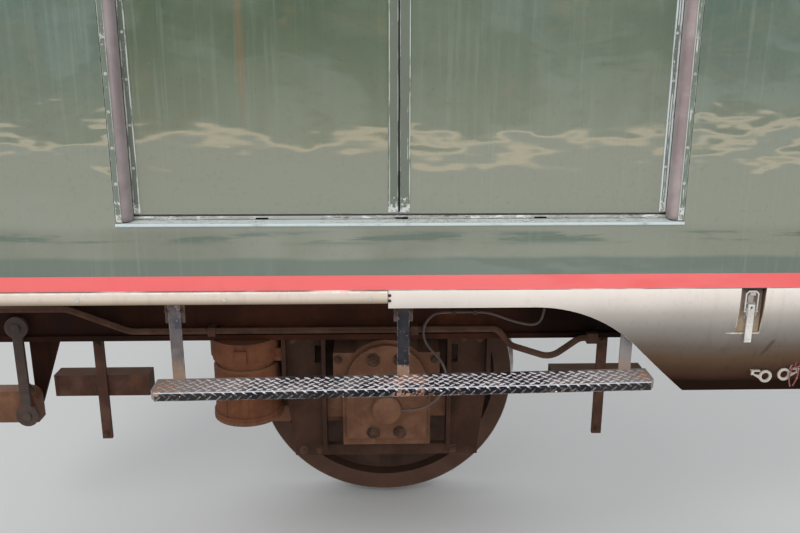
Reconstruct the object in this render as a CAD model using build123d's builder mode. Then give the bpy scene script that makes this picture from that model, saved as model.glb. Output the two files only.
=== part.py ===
from build123d import *
from math import cos, radians, sin, tan
import os

# Side door bay of a passenger coach, cut from the vehicle with the bogie side that shows under it.
# X runs along the coach, Y goes into the coach and Z is up, in millimetres.
# The origin is the centre of the four splice bolts on the inner ends of the outer floor bearers.
# Depths below are measured from the outer face of the body side, heights from the foot of the doors.

# bay and body side
bay_length = 2800
bay_depth = 860
wall = 60
side_foot = -214
side_head = 2120
roof_radius = 230

# doorway
skin_opening = 1600
reveal = 18.5
sill_drop = 25
skin_head = 1975
post_depth = 120
post_reach = 50
header_head = 2060
door_height = 1950
door_gap = 6
head_gap = 8

# door leaves
leaf_depth = 50
leaf_t = 40
heel_clear = 6
heel_over = 0.5
meeting_x = -8
meeting_gap = 6
pivot_r = 9
pivot_play = 0.06
pivot_depth = 24
window_w = 470
window_h = 800
window_foot = 900
window_corner = 70
seal_w = 16
seal_proud = 3
glass_t = 6
glass_hold = 8
meeting_w = 28
meeting_proud = 3

# flexible hinge bands and their clamp strips
band_t = 3
band_bend = 18
strip_t = 3.5
strip_proud = 0.5
outer_strip_w = 17
inner_strip_w = 18
strip_gap = 1.5

# door sill
ledge_drop = 16
nose_out = 7
nose_r = 4
slot_w = 36
slot_h = 5
slot_deep = 9
slot_pitch = 400
pin_end_gap = 2
pin_root = 1
seat_gap = 0.2
strip_end = 4
band_foot = -12

# floor and underframe
floor_t = 30
bearer_h = 120
bearer_w = 90
bearer_web = 10
bearer_pitch = 900
splice_plate = 12
splice_pitch = 70
splice_r = 11
solebar_w = 75
solebar_h = 180
solebar_t = 8

# skirts
rail_h = 41
rail_out = 8
rail_in = 16
rail_joint = -40
joint_gap = 2
skirt_t = 5
skirt_lip = 24
skirt_strip_h = 56
skirt_straight = 31
skirt_radius = 455
skirt_turn = 60
arch_start = 390
arch_radius = 428
arch_slope = 45

# over-centre latch in the skirt
latch_from_end = 373
latch_w = 74
latch_h = 150
latch_sink = 18
lever_w = 20
lever_t = 4
pan_t = 3
latch_base_w = 30
latch_base_h = 50
latch_base_t = 3
latch_ear = 8
gusset_from_end = 94
gusset_before_latch = 127
gusset_t = 6
gusset_turn = 20
lever_head = 22
lever_length = 118
lever_hole_r = 4
latch_keeper_w = 16
latch_keeper_h = 10
latch_pin_play = 0.1
latch_pin_r = 3
bail_w = 36
bail_high = 62
bail_bend = 8
bail_r = 2

# footboard and hangers
step_length = 1500
step_x = 6
step_out = 20
step_depth = 105
step_drop = 512
step_t = 6
step_lip = 26
step_chamfer = 14
step_chamfer_deep = 22
step_tilt = 0.84
hanger_pitch = 683
hanger_w = 36
hanger_t = 8
hanger_head = -226
clip_foot = -340
clip_w = 58

# handles and handrails
handle_r = 9
handle_h = 220
handle_foot = 980
handle_in = 60
handle_out = 38
rail_r = 14
handrail_foot = 700
handrail_h = 900
handrail_x = 905
handrail_out = 55
post_share = 0.7
post_in = 26
post_pad_share = 1.7
post_pad_t = 5

# rim locks on the inner faces of the leaves
lock_w = 70
lock_h = 190
lock_t = 24
lock_foot = 960
lock_edge = 8
spindle_r = 9
spindle_out = 34
lever_bar_w = 22
lever_bar_l = 115
lever_bar_t = 10
lock_chamfer = 4
spindle_up = 63

# rain gutter
gutter_out = 22
gutter_h = 26
gutter_t = 4
gutter_up = 40
gutter_past = 60

# bogie side
beam_right = 950
beam_depth = 380
beam_w = 120
beam_head = -300
beam_foot = -504
beam_flange = 12
beam_flange_h = 18
axle_x = -42
axle_drop = 754
horn_gap = 420
horn_w = 150
horn_waist = -660
horn_taper = 32
horn_foot = -930
horn_plate = 25
horn_rib = 14
wheel_r = 475
flange_h = 28
wheel_w = 135
wheel_depth = 630
hub_r = 125
axle_r = 82
journal_r = 62
journal_play = 0.08
box_r = 153
box_rise = 88
box_depth = 385
box_w = 190
shoulder_half = 184
shoulder_up = 194
shoulder_h = 140
cover_t = 20
cover_below = 120
cap_r = 50
cap_t = 36
pot_x = -530
pot_r = 121
pot_h = 64
pot_rim = 5
pot_rim_h = 16
pot_neck = 20
pot_neck_h = 20
cup_in = 7
cup_foot_h = 14
cup_foot_in = 1
cup_edge = 7
pot_pad_w = 40
pot_pad_h = 46
pot_pad_drop = 21
pot_pad_out = 7
pot_lug_depth = 386
pot_lug_t = 14
pot_lug_h = 44
pot_lug_drop = 38
horn_slot_in = 28
horn_slot_w = 24
horn_slot_h = 66
horn_slot_drop = 76
horn_tie_h = 40
side_bearer_w = 160
lug_root = 20
lug_h = 130
lug_play = 0.3
arm_depth = 458
arm_w = 60
arm_h = 60
arm_head = -790
arm_seat_t = 12
cover_margin = 14
cap_edge = 4
journal_end = 15
box_gap = 6
hub_out = 18
web_t = 30
rim_t = 65
flange_w = 34
axle_end = 6
pipe_r = 11
pipe_off = 1
pipe_level = -465
pipe_bends = (90, 90, 40, 60, 70, 50)
pipe_clip_x = (-640, 40)
pipe_clip_w = 25
clip_t = 4
union_x = 640
union_lead = 24
union_w = 36
union_h = 36
cable_r = 4
cable_sides = 8
cable_level = -399
cable_clip_x = (178, 248)
cable_clip_w = 12
gland_x = 489
gland_w = 34
gland_h = 40

# brake rigging and the bogie's middle
hanger_bar_in = (360, 230)
hanger_bar_w = 34
hanger_bar_t = 14
hanger_bar_depth = 436
hanger_bar_foot = -900
brake_beam_w = 330
brake_beam_h = 79
brake_beam_head = -661
brake_beam_t = 70
brake_beam_shift = -5
link_from_end = 124
link_w = 32
link_t = 14
link_eye = -450
link_eye_r = 38
link_pin_r = 15
link_pin_out = 8
link_foot = -770
plank_head = -690
plank_foot = -806
plank_w = 150
plank_corner = 38
stay_head_w = 112
stay_foot_w = 22
stay_foot = -760
stay_t = 14

# eyes on the foot of the skirt, each under its tab
eye_from_end = (271, 213)
eye_height = (-524, -518)
eye_depth = 70
eye_r = 20
eye_hole_r = 12
eye_t = 5
eye_tail = 45
eye_tail_up = 9
eye_strap_w = 8
eye_tab_w = 27
eye_tab_up = 18
eye_tab_reach = 30

# worked out from the sizes above
skin_y = -bay_depth
foot_z = bearer_h / 2 + floor_t + door_gap
half_bay = bay_length / 2
beam_left = -half_bay
link_x = beam_left + link_from_end
hanger_bar_x = (beam_left + hanger_bar_in[0], beam_right - hanger_bar_in[1])
latch_x = half_bay - latch_from_end
gusset_x = (latch_x - gusset_before_latch, half_bay - gusset_from_end)
gutter_foot = skin_head + gutter_up
half_skin = skin_opening / 2
half_reveal = half_skin - reveal
floor_top = -door_gap
bearer_top = floor_top - floor_t
bearer_foot = bearer_top - bearer_h
heel_r = leaf_t / 2
pivot_x = half_reveal - heel_r + heel_over
pivot_y = leaf_depth + heel_r
meeting = {-1: meeting_x - meeting_gap / 2, 1: meeting_x + meeting_gap / 2}
sides = {-1: "left", 1: "right"}
axle_z = -axle_drop
post_face = band_t + strip_t - strip_proud
post_inner = pivot_x + heel_r + heel_clear
band_x = half_reveal - band_bend
solebar_foot = bearer_top - solebar_h
latch_pan_depth = latch_sink + pan_t
lever_depth = latch_pan_depth - pan_t - latch_base_t - latch_ear
hanger_depth = step_depth - step_out - hanger_t
pipe_depth = beam_depth - beam_flange - pipe_r - pipe_off
cable_depth = pipe_depth - pipe_r - cable_r - pipe_off / 2
latch_base_z = side_foot - 0.5 * latch_h


def plan(height=0.0):
    """A level plane, seen from above, at a height over the foot of the doors."""
    return Plane(origin=(0, skin_y, foot_z + height), x_dir=(1, 0, 0), z_dir=(0, 0, 1))


def front(depth=0.0):
    """An upright plane along the coach, seen from outside, at a depth behind the skin."""
    return Plane(origin=(0, skin_y + depth, foot_z), x_dir=(1, 0, 0), z_dir=(0, -1, 0))


def section(x=0.0):
    """An upright plane across the coach: its x is the depth and its y is the height."""
    return Plane(origin=(x, skin_y, foot_z), x_dir=(0, 1, 0), z_dir=(1, 0, 0))


def grab_bars(places, seat, foot, height, out, radius):
    """Upright bars, each on two round posts with a pad against its seat."""
    with BuildPart() as bars:
        for x in places:
            with BuildSketch(plan(foot)):
                with Locations((x, seat - out)):
                    Circle(radius)
            extrude(amount=height)
            for post_radius, reach in (
                (radius * post_share, out),
                (radius * post_pad_share, post_pad_t),
            ):
                with BuildSketch(front(seat)):
                    with Locations((x, foot + post_in), (x, foot + height - post_in)):
                        Circle(post_radius)
                extrude(amount=reach)
    return bars.part


def easy_radii(route):
    """For each inner point of a route, the radius that its two runs allow."""
    radii = []
    for a, b, c in zip(route, route[1:], route[2:]):
        before, after = Vector(*b) - Vector(*a), Vector(*c) - Vector(*b)
        turn = radians(before.get_angle(after))
        radii.append(0.45 * min(before.length, after.length) / tan(turn / 2))
    return radii


def save(piece, name):
    piece.label = name
    export_step(piece, f"parts/{name}.step")


os.makedirs("parts", exist_ok=True)

# Body side: one wall with the doorway cut through it
with BuildPart() as body_side:
    with BuildSketch(front()):
        with Locations((0, side_foot)):
            Rectangle(bay_length, side_head - side_foot, align=(Align.CENTER, Align.MIN))
        with Locations((0, -sill_drop)):
            Rectangle(
                skin_opening, skin_head + sill_drop, align=(Align.CENTER, Align.MIN), mode=Mode.SUBTRACT
            )
    extrude(amount=-wall)
save(body_side.part, "body_side")

# Cantrail: the quarter round from the wall to the roof
with BuildPart() as cantrail:
    with BuildSketch(section(-half_bay)):
        with BuildLine():
            top = side_head + roof_radius
            CenterArc((roof_radius, side_head), roof_radius, 90, 90)
            Line((roof_radius, top), (roof_radius, top - wall))
            CenterArc((roof_radius, side_head), roof_radius - wall, 90, 90)
            Line((0, side_head), (wall, side_head))
        make_face()
    extrude(amount=bay_length)
save(cantrail.part, "cantrail")

# Rain gutter over the doorway
with BuildPart() as rain_gutter:
    with BuildSketch(section(-half_skin - gutter_past)):
        with BuildLine():
            Polyline(
                (0, gutter_foot),
                (-gutter_out, gutter_foot),
                (-gutter_out, gutter_foot + gutter_h / 2),
                (-gutter_out + gutter_t, gutter_foot + gutter_h / 2),
                (-gutter_out + gutter_t, gutter_foot + gutter_t),
                (-gutter_t, gutter_foot + gutter_t),
                (-gutter_t, gutter_foot + gutter_h),
                (0, gutter_foot + gutter_h),
                close=True,
            )
        make_face()
    extrude(amount=skin_opening + 2 * gutter_past)
save(rain_gutter.part, "rain_gutter")

# Door sill: nose, ledge and upstand, with drain slots and the lower pivot bearings
with BuildPart() as door_sill:
    with BuildSketch(section(-half_skin)):
        with BuildLine():
            Polyline(
                (-nose_out, -sill_drop),
                (-nose_out, -ledge_drop),
                (leaf_depth, -ledge_drop),
                (leaf_depth, floor_top),
                (post_depth, floor_top),
                (post_depth, bearer_top),
                (wall, bearer_top),
                (wall, -sill_drop),
                close=True,
            )
        make_face()
    extrude(amount=skin_opening)
    nose_edges = door_sill.edges().filter_by(Axis.X).sort_by(Axis.Y)[:2]
    fillet(nose_edges, nose_r)
    with BuildSketch(plan(bearer_top)):
        with Locations((-slot_pitch, leaf_depth), (0, leaf_depth), (slot_pitch, leaf_depth)):
            Rectangle(slot_w, slot_deep, align=(Align.CENTER, Align.MIN))
    extrude(amount=-bearer_top - ledge_drop + slot_h, mode=Mode.SUBTRACT)
    with BuildSketch(plan(floor_top)):
        with Locations((-pivot_x, pivot_y), (pivot_x, pivot_y)):
            Circle(pivot_r + pivot_play)
    extrude(amount=-pivot_depth, mode=Mode.SUBTRACT)
save(door_sill.part, "door_sill")

# Door posts: each stands on the sill and the floor, hollowed round the heel of its leaf
for side, word in sides.items():
    with BuildPart() as post:
        with BuildSketch(plan(floor_top)):
            with BuildLine():
                Polyline(
                    (side * half_reveal, post_face),
                    (side * half_skin, post_face),
                    (side * half_skin, wall),
                    (side * (half_skin + post_reach), wall),
                    (side * (half_skin + post_reach), post_depth),
                    (side * post_inner, post_depth),
                    (side * post_inner, pivot_y),
                    (side * half_reveal, pivot_y),
                    close=True,
                )
            make_face()
            with Locations((side * pivot_x, pivot_y)):
                Circle(heel_r + heel_clear, mode=Mode.SUBTRACT)
        extrude(amount=door_height + head_gap - floor_top)
        with BuildSketch(plan(-ledge_drop)):
            with Locations((side * half_skin, post_face)):
                align = (Align.MAX if side > 0 else Align.MIN, Align.MIN)
                Rectangle(reveal, leaf_depth - post_face, align=align)
        extrude(amount=ledge_drop + floor_top)
    save(post.part, f"door_post_{word}")

# Door header: it closes the top of the doorway and holds the upper pivots
head_z = door_height + head_gap
with BuildPart() as door_header:
    with BuildSketch(front(post_face)):
        with Locations((0, head_z)):
            Rectangle(skin_opening, skin_head - head_z, align=(Align.CENTER, Align.MIN))
    extrude(amount=-(wall - post_face))
    with BuildSketch(front(wall)):
        with Locations((0, head_z)):
            head_w = skin_opening + 2 * post_reach
            Rectangle(head_w, header_head - head_z, align=(Align.CENTER, Align.MIN))
    extrude(amount=-(post_depth - wall))
    with BuildSketch(plan(head_z)):
        with Locations((-pivot_x, pivot_y), (pivot_x, pivot_y)):
            Circle(pivot_r + pivot_play)
    extrude(amount=pivot_depth, mode=Mode.SUBTRACT)
save(door_header.part, "door_header")

# Door leaves: a rounded heel on two pivot pins, and the window cut through
for side, word in sides.items():
    edge = meeting[side]
    middle = (edge + side * (half_reveal - 2 * heel_r)) / 2
    with BuildPart() as leaf:
        with BuildSketch(plan()):
            with BuildLine():
                Polyline(
                    (edge, leaf_depth),
                    (side * pivot_x, leaf_depth),
                    (side * pivot_x, leaf_depth + leaf_t),
                    (edge, leaf_depth + leaf_t),
                    close=True,
                )
            make_face()
            with Locations((side * pivot_x, pivot_y)):
                Circle(heel_r)
        extrude(amount=door_height)
        with BuildSketch(front(leaf_depth)):
            with Locations((middle, window_foot + window_h / 2)):
                RectangleRounded(window_w, window_h, window_corner)
        extrude(amount=-leaf_t, mode=Mode.SUBTRACT)
        pin = pivot_depth + door_gap - pin_end_gap
        with BuildSketch(plan(-pin)):
            with Locations((side * pivot_x, pivot_y)):
                Circle(pivot_r)
        extrude(amount=pin + pin_root)
        with BuildSketch(plan(door_height - pin_root)):
            with Locations((side * pivot_x, pivot_y)):
                Circle(pivot_r)
        extrude(amount=pin_root + head_gap + pivot_depth - pin_end_gap)
    save(leaf.part, f"door_leaf_{word}")

    with BuildPart() as seal:
        with BuildSketch(front(leaf_depth - seal_proud)):
            with Locations((middle, window_foot + window_h / 2)):
                w, h = window_w - 2 * seat_gap, window_h - 2 * seat_gap
                RectangleRounded(w, h, window_corner - seat_gap)
                sight_r = window_corner - seal_w
                RectangleRounded(
                    window_w - 2 * seal_w, window_h - 2 * seal_w, sight_r, mode=Mode.SUBTRACT
                )
        extrude(amount=-(leaf_t + 2 * seal_proud))
        with BuildSketch(front(pivot_y - glass_t / 2 - seat_gap)):
            with Locations((middle, window_foot + window_h / 2)):
                grow = glass_hold - seal_w + seat_gap
                RectangleRounded(
                    window_w + 2 * grow, window_h + 2 * grow, window_corner + grow
                )
        extrude(amount=-(glass_t + 2 * seat_gap), mode=Mode.SUBTRACT)
    save(seal.part, f"window_seal_{word}")

    with BuildPart() as glass:
        with BuildSketch(front(pivot_y - glass_t / 2)):
            with Locations((middle, window_foot + window_h / 2)):
                grow = glass_hold - seal_w
                RectangleRounded(window_w + 2 * grow, window_h + 2 * grow, window_corner + grow)
        extrude(amount=-glass_t)
    save(glass.part, f"window_glass_{word}")

    with BuildPart() as meeting_strip:
        with BuildSketch(plan(strip_end)):
            with Locations((edge, leaf_depth)):
                align = (Align.MIN if side > 0 else Align.MAX, Align.MAX)
                Rectangle(meeting_w, meeting_proud, align=align)
        extrude(amount=door_height - 2 * strip_end)
        fillet(meeting_strip.edges().filter_by(Axis.Z).group_by(Axis.Y)[0], meeting_proud / 3)
    save(meeting_strip.part, f"meeting_strip_{word}")

    with BuildPart() as inner_strip:
        with BuildSketch(plan(strip_end)):
            with Locations((side * (band_x - band_t / 2 - strip_gap), leaf_depth)):
                align = (Align.MAX if side > 0 else Align.MIN, Align.MAX)
                Rectangle(inner_strip_w, strip_t, align=align)
        extrude(amount=door_height - 2 * strip_end)
    save(inner_strip.part, f"leaf_clamp_strip_{word}")

    handle_x = edge + side * handle_in
    handle = grab_bars((handle_x,), leaf_depth, handle_foot, handle_h, handle_out, handle_r)
    save(handle, f"door_handle_{word}")

    with BuildPart() as rim_lock:
        lock_x = edge + side * (lock_edge + lock_w / 2)
        with BuildSketch(front(leaf_depth + leaf_t)):
            with Locations((lock_x, lock_foot + lock_h / 2)):
                Rectangle(lock_w, lock_h)
        extrude(amount=-lock_t)
        chamfer(rim_lock.edges().group_by(Axis.Y)[-1], lock_chamfer)
        with BuildSketch(front(leaf_depth + leaf_t + lock_t)):
            with Locations((lock_x, lock_foot + spindle_up)):
                Circle(spindle_r)
        extrude(amount=-spindle_out)
        with BuildSketch(front(leaf_depth + leaf_t + lock_t + spindle_out)):
            with Locations((lock_x - side * lever_bar_w / 2, lock_foot + spindle_up)):
                align = (Align.MIN if side > 0 else Align.MAX, Align.CENTER)
                Rectangle(lever_bar_l, lever_bar_w, align=align)
        extrude(amount=-lever_bar_t)
    save(rim_lock.part, f"rim_lock_{word}")

# Hinge bands: clamped on the post, bent round into the reveal and down to the leaf
for side, word in sides.items():
    with BuildPart() as band:
        with BuildSketch(plan(band_foot)):
            with BuildLine():
                tail_x = side * (half_skin - joint_gap)
                end_y = leaf_depth - strip_t - strip_gap
                seen = FilletPolyline(
                    (tail_x, post_face - band_t),
                    (side * (band_x - band_t / 2), post_face - band_t),
                    (side * (band_x - band_t / 2), end_y),
                    radius=band_bend + band_t / 2,
                )
                hidden = FilletPolyline(
                    (tail_x, post_face),
                    (side * (band_x + band_t / 2), post_face),
                    (side * (band_x + band_t / 2), end_y),
                    radius=band_bend - band_t / 2,
                )
                Line(seen @ 0, hidden @ 0)
                Line(seen @ 1, hidden @ 1)
            make_face()
        extrude(amount=door_height - band_foot)
    save(band.part, f"hinge_band_{word}")

with BuildPart() as outer_strips:
    with BuildSketch(plan(band_foot)):
        for side in sides:
            with Locations((side * (half_skin - joint_gap), post_face - band_t)):
                align = (Align.MAX if side > 0 else Align.MIN, Align.MAX)
                Rectangle(outer_strip_w - joint_gap, strip_t, align=align)
    extrude(amount=door_height - band_foot)
save(outer_strips.part, "post_clamp_strips")

# Handrails on the body side, one by each post
handrail_places = (-handrail_x, handrail_x)
handrails = grab_bars(handrail_places, 0, handrail_foot, handrail_h, handrail_out, rail_r)
save(handrails, "handrails")

# Floor, notched round the sill
with BuildPart() as floor:
    with BuildSketch(plan(bearer_top)):
        with Locations((0, wall)):
            Rectangle(bay_length, bay_depth - wall, align=(Align.CENTER, Align.MIN))
            Rectangle(
                skin_opening, post_depth - wall, align=(Align.CENTER, Align.MIN), mode=Mode.SUBTRACT
            )
    extrude(amount=floor_t)
save(floor.part, "vestibule_floor")

# Solebar: a channel under the wall, open towards the middle of the coach
with BuildPart() as solebar:
    with BuildSketch(section(-half_bay)):
        with Locations((wall, bearer_top)):
            Rectangle(solebar_w, solebar_h, align=(Align.MIN, Align.MAX))
        with Locations((wall + solebar_t, bearer_top - solebar_t)):
            Rectangle(
                solebar_w, solebar_h - 2 * solebar_t, align=(Align.MIN, Align.MAX), mode=Mode.SUBTRACT
            )
    extrude(amount=bay_length)
save(solebar.part, "solebar")

# Floor bearers: rolled beams across the bay, the outer two with bolted splice plates
with BuildPart() as bearers:
    bearer_start = wall + solebar_w
    for x in (-bearer_pitch, 0, bearer_pitch):
        with BuildSketch(front(bearer_start)):
            with Locations((x, bearer_top - bearer_h / 2)):
                Rectangle(bearer_w, bearer_h)
            for side in sides:
                with Locations((x + side * (bearer_w + bearer_web) / 4, bearer_top - bearer_h / 2)):
                    Rectangle(
                        (bearer_w - bearer_web) / 2, bearer_h - 2 * bearer_web, mode=Mode.SUBTRACT
                    )
        extrude(amount=-(bay_depth - splice_plate - bearer_start))
        with BuildSketch(front(bay_depth - splice_plate)):
            with Locations((x, bearer_top - bearer_h / 2)):
                Rectangle(bearer_h, bearer_h)
            if x:
                with Locations((x, bearer_top - bearer_h / 2)):
                    with GridLocations(0, splice_pitch, 1, 2):
                        Circle(splice_r, mode=Mode.SUBTRACT)
        extrude(amount=-splice_plate)
save(bearers.part, "floor_bearers")

# Left skirt rail: a rounded moulding along the foot of the body side
with BuildPart() as skirt_rail:
    with BuildSketch(section(-half_bay)):
        with Locations((rail_in, side_foot)):
            Rectangle(rail_in + rail_out, rail_h, align=(Align.MAX, Align.MAX))
    extrude(amount=half_bay + rail_joint - joint_gap)
    fillet(skirt_rail.edges().filter_by(Axis.X).group_by(Axis.Y)[0], rail_out)
save(skirt_rail.part, "skirt_rail")


# Right skirt: a sheet that curves under the coach, with the arched cut over the footboard
skirt_start = side_foot - skirt_straight
with BuildPart() as skirt_panel:
    with BuildSketch(section(rail_joint)):
        with BuildLine():
            outer_line = Line((0, side_foot), (0, skirt_start))
            outer_arc = CenterArc((skirt_radius, skirt_start), skirt_radius, 180, skirt_turn)
            inner_arc = CenterArc((skirt_radius, skirt_start), skirt_radius - skirt_t, 180, skirt_turn)
            Line(outer_arc @ 1, inner_arc @ 1)
            Line(inner_arc @ 0, (skirt_t, side_foot - skirt_t))
            Line((skirt_t, side_foot - skirt_t), (skirt_lip, side_foot - skirt_t))
            Line((skirt_lip, side_foot - skirt_t), (skirt_lip, side_foot))
            Line((skirt_lip, side_foot), (0, side_foot))
        make_face()
    extrude(amount=half_bay - rail_joint)
    with BuildSketch(front(-1)):
        with BuildLine():
            arch_z = side_foot - skirt_strip_h
            low = skirt_start - skirt_radius
            slope = radians(arch_slope)
            bend = (
                arch_start + arch_radius * sin(slope),
                arch_z - arch_radius * (1 - cos(slope)),
            )
            arch_foot = skirt_start - skirt_radius * sin(radians(skirt_turn))
            run = (bend[1] - arch_foot) / (sin(slope) / cos(slope))
            Line((rail_joint, arch_z), (arch_start, arch_z))
            CenterArc((arch_start, arch_z - arch_radius), arch_radius, 90, -arch_slope)
            Line(bend, (bend[0] + run, arch_foot))
            Line((bend[0] + run, arch_foot), (bend[0] + run, low))
            Line((bend[0] + run, low), (rail_joint, low))
            Line((rail_joint, low), (rail_joint, arch_z))
        make_face()
    extrude(amount=-skirt_radius, mode=Mode.SUBTRACT)
    with BuildSketch(front(-1)):
        with Locations((latch_x, side_foot)):
            Rectangle(latch_w, latch_h - skirt_t, align=(Align.CENTER, Align.MAX))
    extrude(amount=-(latch_h / 2), mode=Mode.SUBTRACT)
save(skirt_panel.part, "skirt_panel")

# Skirt gussets: upright plates from the solebar to the back of the skirt
with BuildPart() as gussets:
    for x in gusset_x:
        with BuildSketch(section(x)):
            with BuildLine():
                back = CenterArc(
                    (skirt_radius, skirt_start), skirt_radius - skirt_t, 180, gusset_turn
                )
                Line(back @ 0, (skirt_t, side_foot - skirt_t))
                Line((skirt_t, side_foot - skirt_t), (skirt_lip, side_foot - skirt_t))
                Line((skirt_lip, side_foot - skirt_t), (skirt_lip, solebar_foot))
                Line((skirt_lip, solebar_foot), (wall + solebar_w, solebar_foot))
                Line((wall + solebar_w, solebar_foot), back @ 1)
            make_face()
        extrude(amount=gusset_t)
save(gussets.part, "skirt_gussets")

# Latch recess: a pressed pan let into the skirt
with BuildPart() as latch_pan:
    with BuildSketch(front(-1)):
        with Locations((latch_x, side_foot)):
            Rectangle(latch_w, latch_h - skirt_t, align=(Align.CENTER, Align.MAX))
    extrude(amount=-(latch_pan_depth + 1))
    with BuildSketch(front(-1)):
        with Locations((latch_x, side_foot - pan_t)):
            inside_h = latch_h - skirt_t - 2 * pan_t
            Rectangle(latch_w - 2 * pan_t, inside_h, align=(Align.CENTER, Align.MAX))
    extrude(amount=-(latch_pan_depth + 1 - pan_t), mode=Mode.SUBTRACT)
    with BuildSketch(section(latch_x - latch_w)):
        with BuildLine():
            face = CenterArc((skirt_radius, skirt_start), skirt_radius, 180, gusset_turn)
            Line(face @ 0, (0, side_foot))
            Line((0, side_foot), (latch_h, side_foot))
            Line((latch_h, side_foot), face @ 1)
        make_face()
    extrude(amount=2 * latch_w, mode=Mode.INTERSECT)
save(latch_pan.part, "latch_pan")

# Over-centre latch: base on the pan's floor, flat lever and wire bail
pan_floor = latch_pan_depth - pan_t
with BuildPart() as latch_base:
    with BuildSketch(front(pan_floor)):
        with Locations((latch_x, latch_base_z)):
            Rectangle(latch_base_w, latch_base_h)
    extrude(amount=latch_base_t)
    for ear_x in (-latch_base_w / 2, latch_base_w / 2 - latch_base_t):
        with BuildSketch(section(latch_x + ear_x)):
            with Locations((pan_floor - latch_base_t, latch_base_z)):
                ear_reach = latch_ear + 2 * latch_pin_r
                Rectangle(ear_reach, latch_base_h / 2, align=(Align.MAX, Align.CENTER))
            with Locations((lever_depth, latch_base_z)):
                Circle(latch_pin_r + latch_pin_play, mode=Mode.SUBTRACT)
        extrude(amount=latch_base_t)
    with BuildSketch(front(pan_floor)):
        with Locations((latch_x, latch_base_z + bail_high - bail_r)):
            Rectangle(latch_keeper_w, latch_keeper_h, align=(Align.CENTER, Align.MAX))
    extrude(amount=pan_floor - lever_depth + 2 * bail_r)
    with BuildSketch(front(pan_floor)):
        with Locations((latch_x, latch_base_z)):
            keeper_reach = bail_high - bail_r - latch_keeper_h
            Rectangle(latch_keeper_w, keeper_reach + 1, align=(Align.CENTER, Align.MIN))
    extrude(amount=latch_base_t)
save(latch_base.part, "latch_base")

with BuildPart() as latch_lever:
    with BuildSketch(front(lever_depth)):
        with Locations((latch_x, latch_base_z + lever_head)):
            Rectangle(lever_w, lever_length, align=(Align.CENTER, Align.MAX))
    extrude(amount=lever_t)
    with BuildSketch(front(lever_depth)):
        with Locations((latch_x, latch_base_z + lever_head - lever_w / 2)):
            Circle(lever_hole_r)
    extrude(amount=lever_t, mode=Mode.SUBTRACT)
    with BuildSketch(section(latch_x - bail_w / 2 - bail_r)):
        with Locations((lever_depth, latch_base_z)):
            Circle(latch_pin_r)
    extrude(amount=bail_w + 2 * bail_r)
save(latch_lever.part, "latch_lever")

with BuildPart() as latch_bail:
    with BuildLine(front(lever_depth)) as wire:
        Polyline(
            (latch_x - bail_w / 2, latch_base_z + latch_pin_r),
            (latch_x - bail_w / 2, latch_base_z + bail_high - bail_bend),
            (latch_x - bail_w / 2 + bail_bend, latch_base_z + bail_high),
            (latch_x + bail_w / 2 - bail_bend, latch_base_z + bail_high),
            (latch_x + bail_w / 2, latch_base_z + bail_high - bail_bend),
            (latch_x + bail_w / 2, latch_base_z + latch_pin_r),
        )
    with BuildSketch(Plane(origin=wire.line @ 0, z_dir=wire.line % 0)):
        Circle(bail_r)
    sweep(transition=Transition.RIGHT)
save(latch_bail.part, "latch_bail")

# Footboard: a pressed tread with lips all round and chamfered front corners, its right end up a little
tread = -step_drop
step_back = step_depth - step_out
corner_x = step_length / 2
with BuildPart() as footboard:
    for inset, low in ((0, step_lip), (step_t, step_lip - step_t)):
        with BuildSketch(Plane(origin=(step_x, skin_y - step_out, foot_z + tread - inset))):
            with BuildLine():
                Polyline(
                    (-corner_x + step_chamfer, inset),
                    (corner_x - step_chamfer, inset),
                    (corner_x - inset, step_chamfer_deep),
                    (corner_x - inset, step_depth - inset),
                    (-corner_x + inset, step_depth - inset),
                    (-corner_x + inset, step_chamfer_deep),
                    close=True,
                )
            make_face()
        extrude(amount=-low, mode=Mode.ADD if inset == 0 else Mode.SUBTRACT)
step_middle = Axis((step_x, skin_y, foot_z + tread), (0, 1, 0))
save(footboard.part.rotate(step_middle, -step_tilt), "footboard")

# Hangers: flat straps from the clips under the solebar to the rear of the tread
with BuildPart() as hangers:
    with BuildSketch(front(hanger_depth)):
        for k in (-1, 0, 1):
            slant = tan(radians(step_tilt))
            outer_x, inner_x = k * hanger_pitch - hanger_w / 2, k * hanger_pitch + hanger_w / 2
            with BuildLine():
                Polyline(
                    (step_x + outer_x, tread + outer_x * slant),
                    (step_x + inner_x, tread + inner_x * slant),
                    (step_x + inner_x, hanger_head),
                    (step_x + outer_x, hanger_head),
                    close=True,
                )
            make_face()
    extrude(amount=-hanger_t)
save(hangers.part, "step_hangers")

with BuildPart() as clips:
    with BuildSketch(front(hanger_depth + hanger_t)):
        for k in (-1, 0, 1):
            with Locations((step_x + k * hanger_pitch, clip_foot)):
                Rectangle(clip_w, solebar_foot - clip_foot, align=(Align.CENTER, Align.MIN))
    extrude(amount=-hanger_t)
save(clips.part, "hanger_clips")

# Bogie side beam: a web with a foot flange and a rounded end, and the bearer that meets the floor frame
with BuildPart() as beam:
    beam_h = beam_head - beam_foot
    for reach, height in ((0, beam_h), (beam_flange, beam_flange_h)):
        with BuildSketch(front(beam_depth - reach)):
            with Locations((beam_left, beam_foot)):
                Rectangle(beam_right - beam_left - beam_h / 2, height, align=(Align.MIN, Align.MIN))
            if reach == 0:
                with Locations((beam_right - beam_h / 2, (beam_head + beam_foot) / 2)):
                    Circle(beam_h / 2)
        extrude(amount=-(beam_w + 2 * reach))
    with BuildSketch(front(beam_depth + beam_w / 2)):
        with Locations((link_x, beam_foot)):
            Polygon(
                (0, 1), (stay_head_w, 1), (stay_foot_w, stay_foot - beam_foot), (0, stay_foot - beam_foot),
                align=None,
            )
    extrude(amount=-stay_t)
save(beam.part, "bogie_side_beam")

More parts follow.
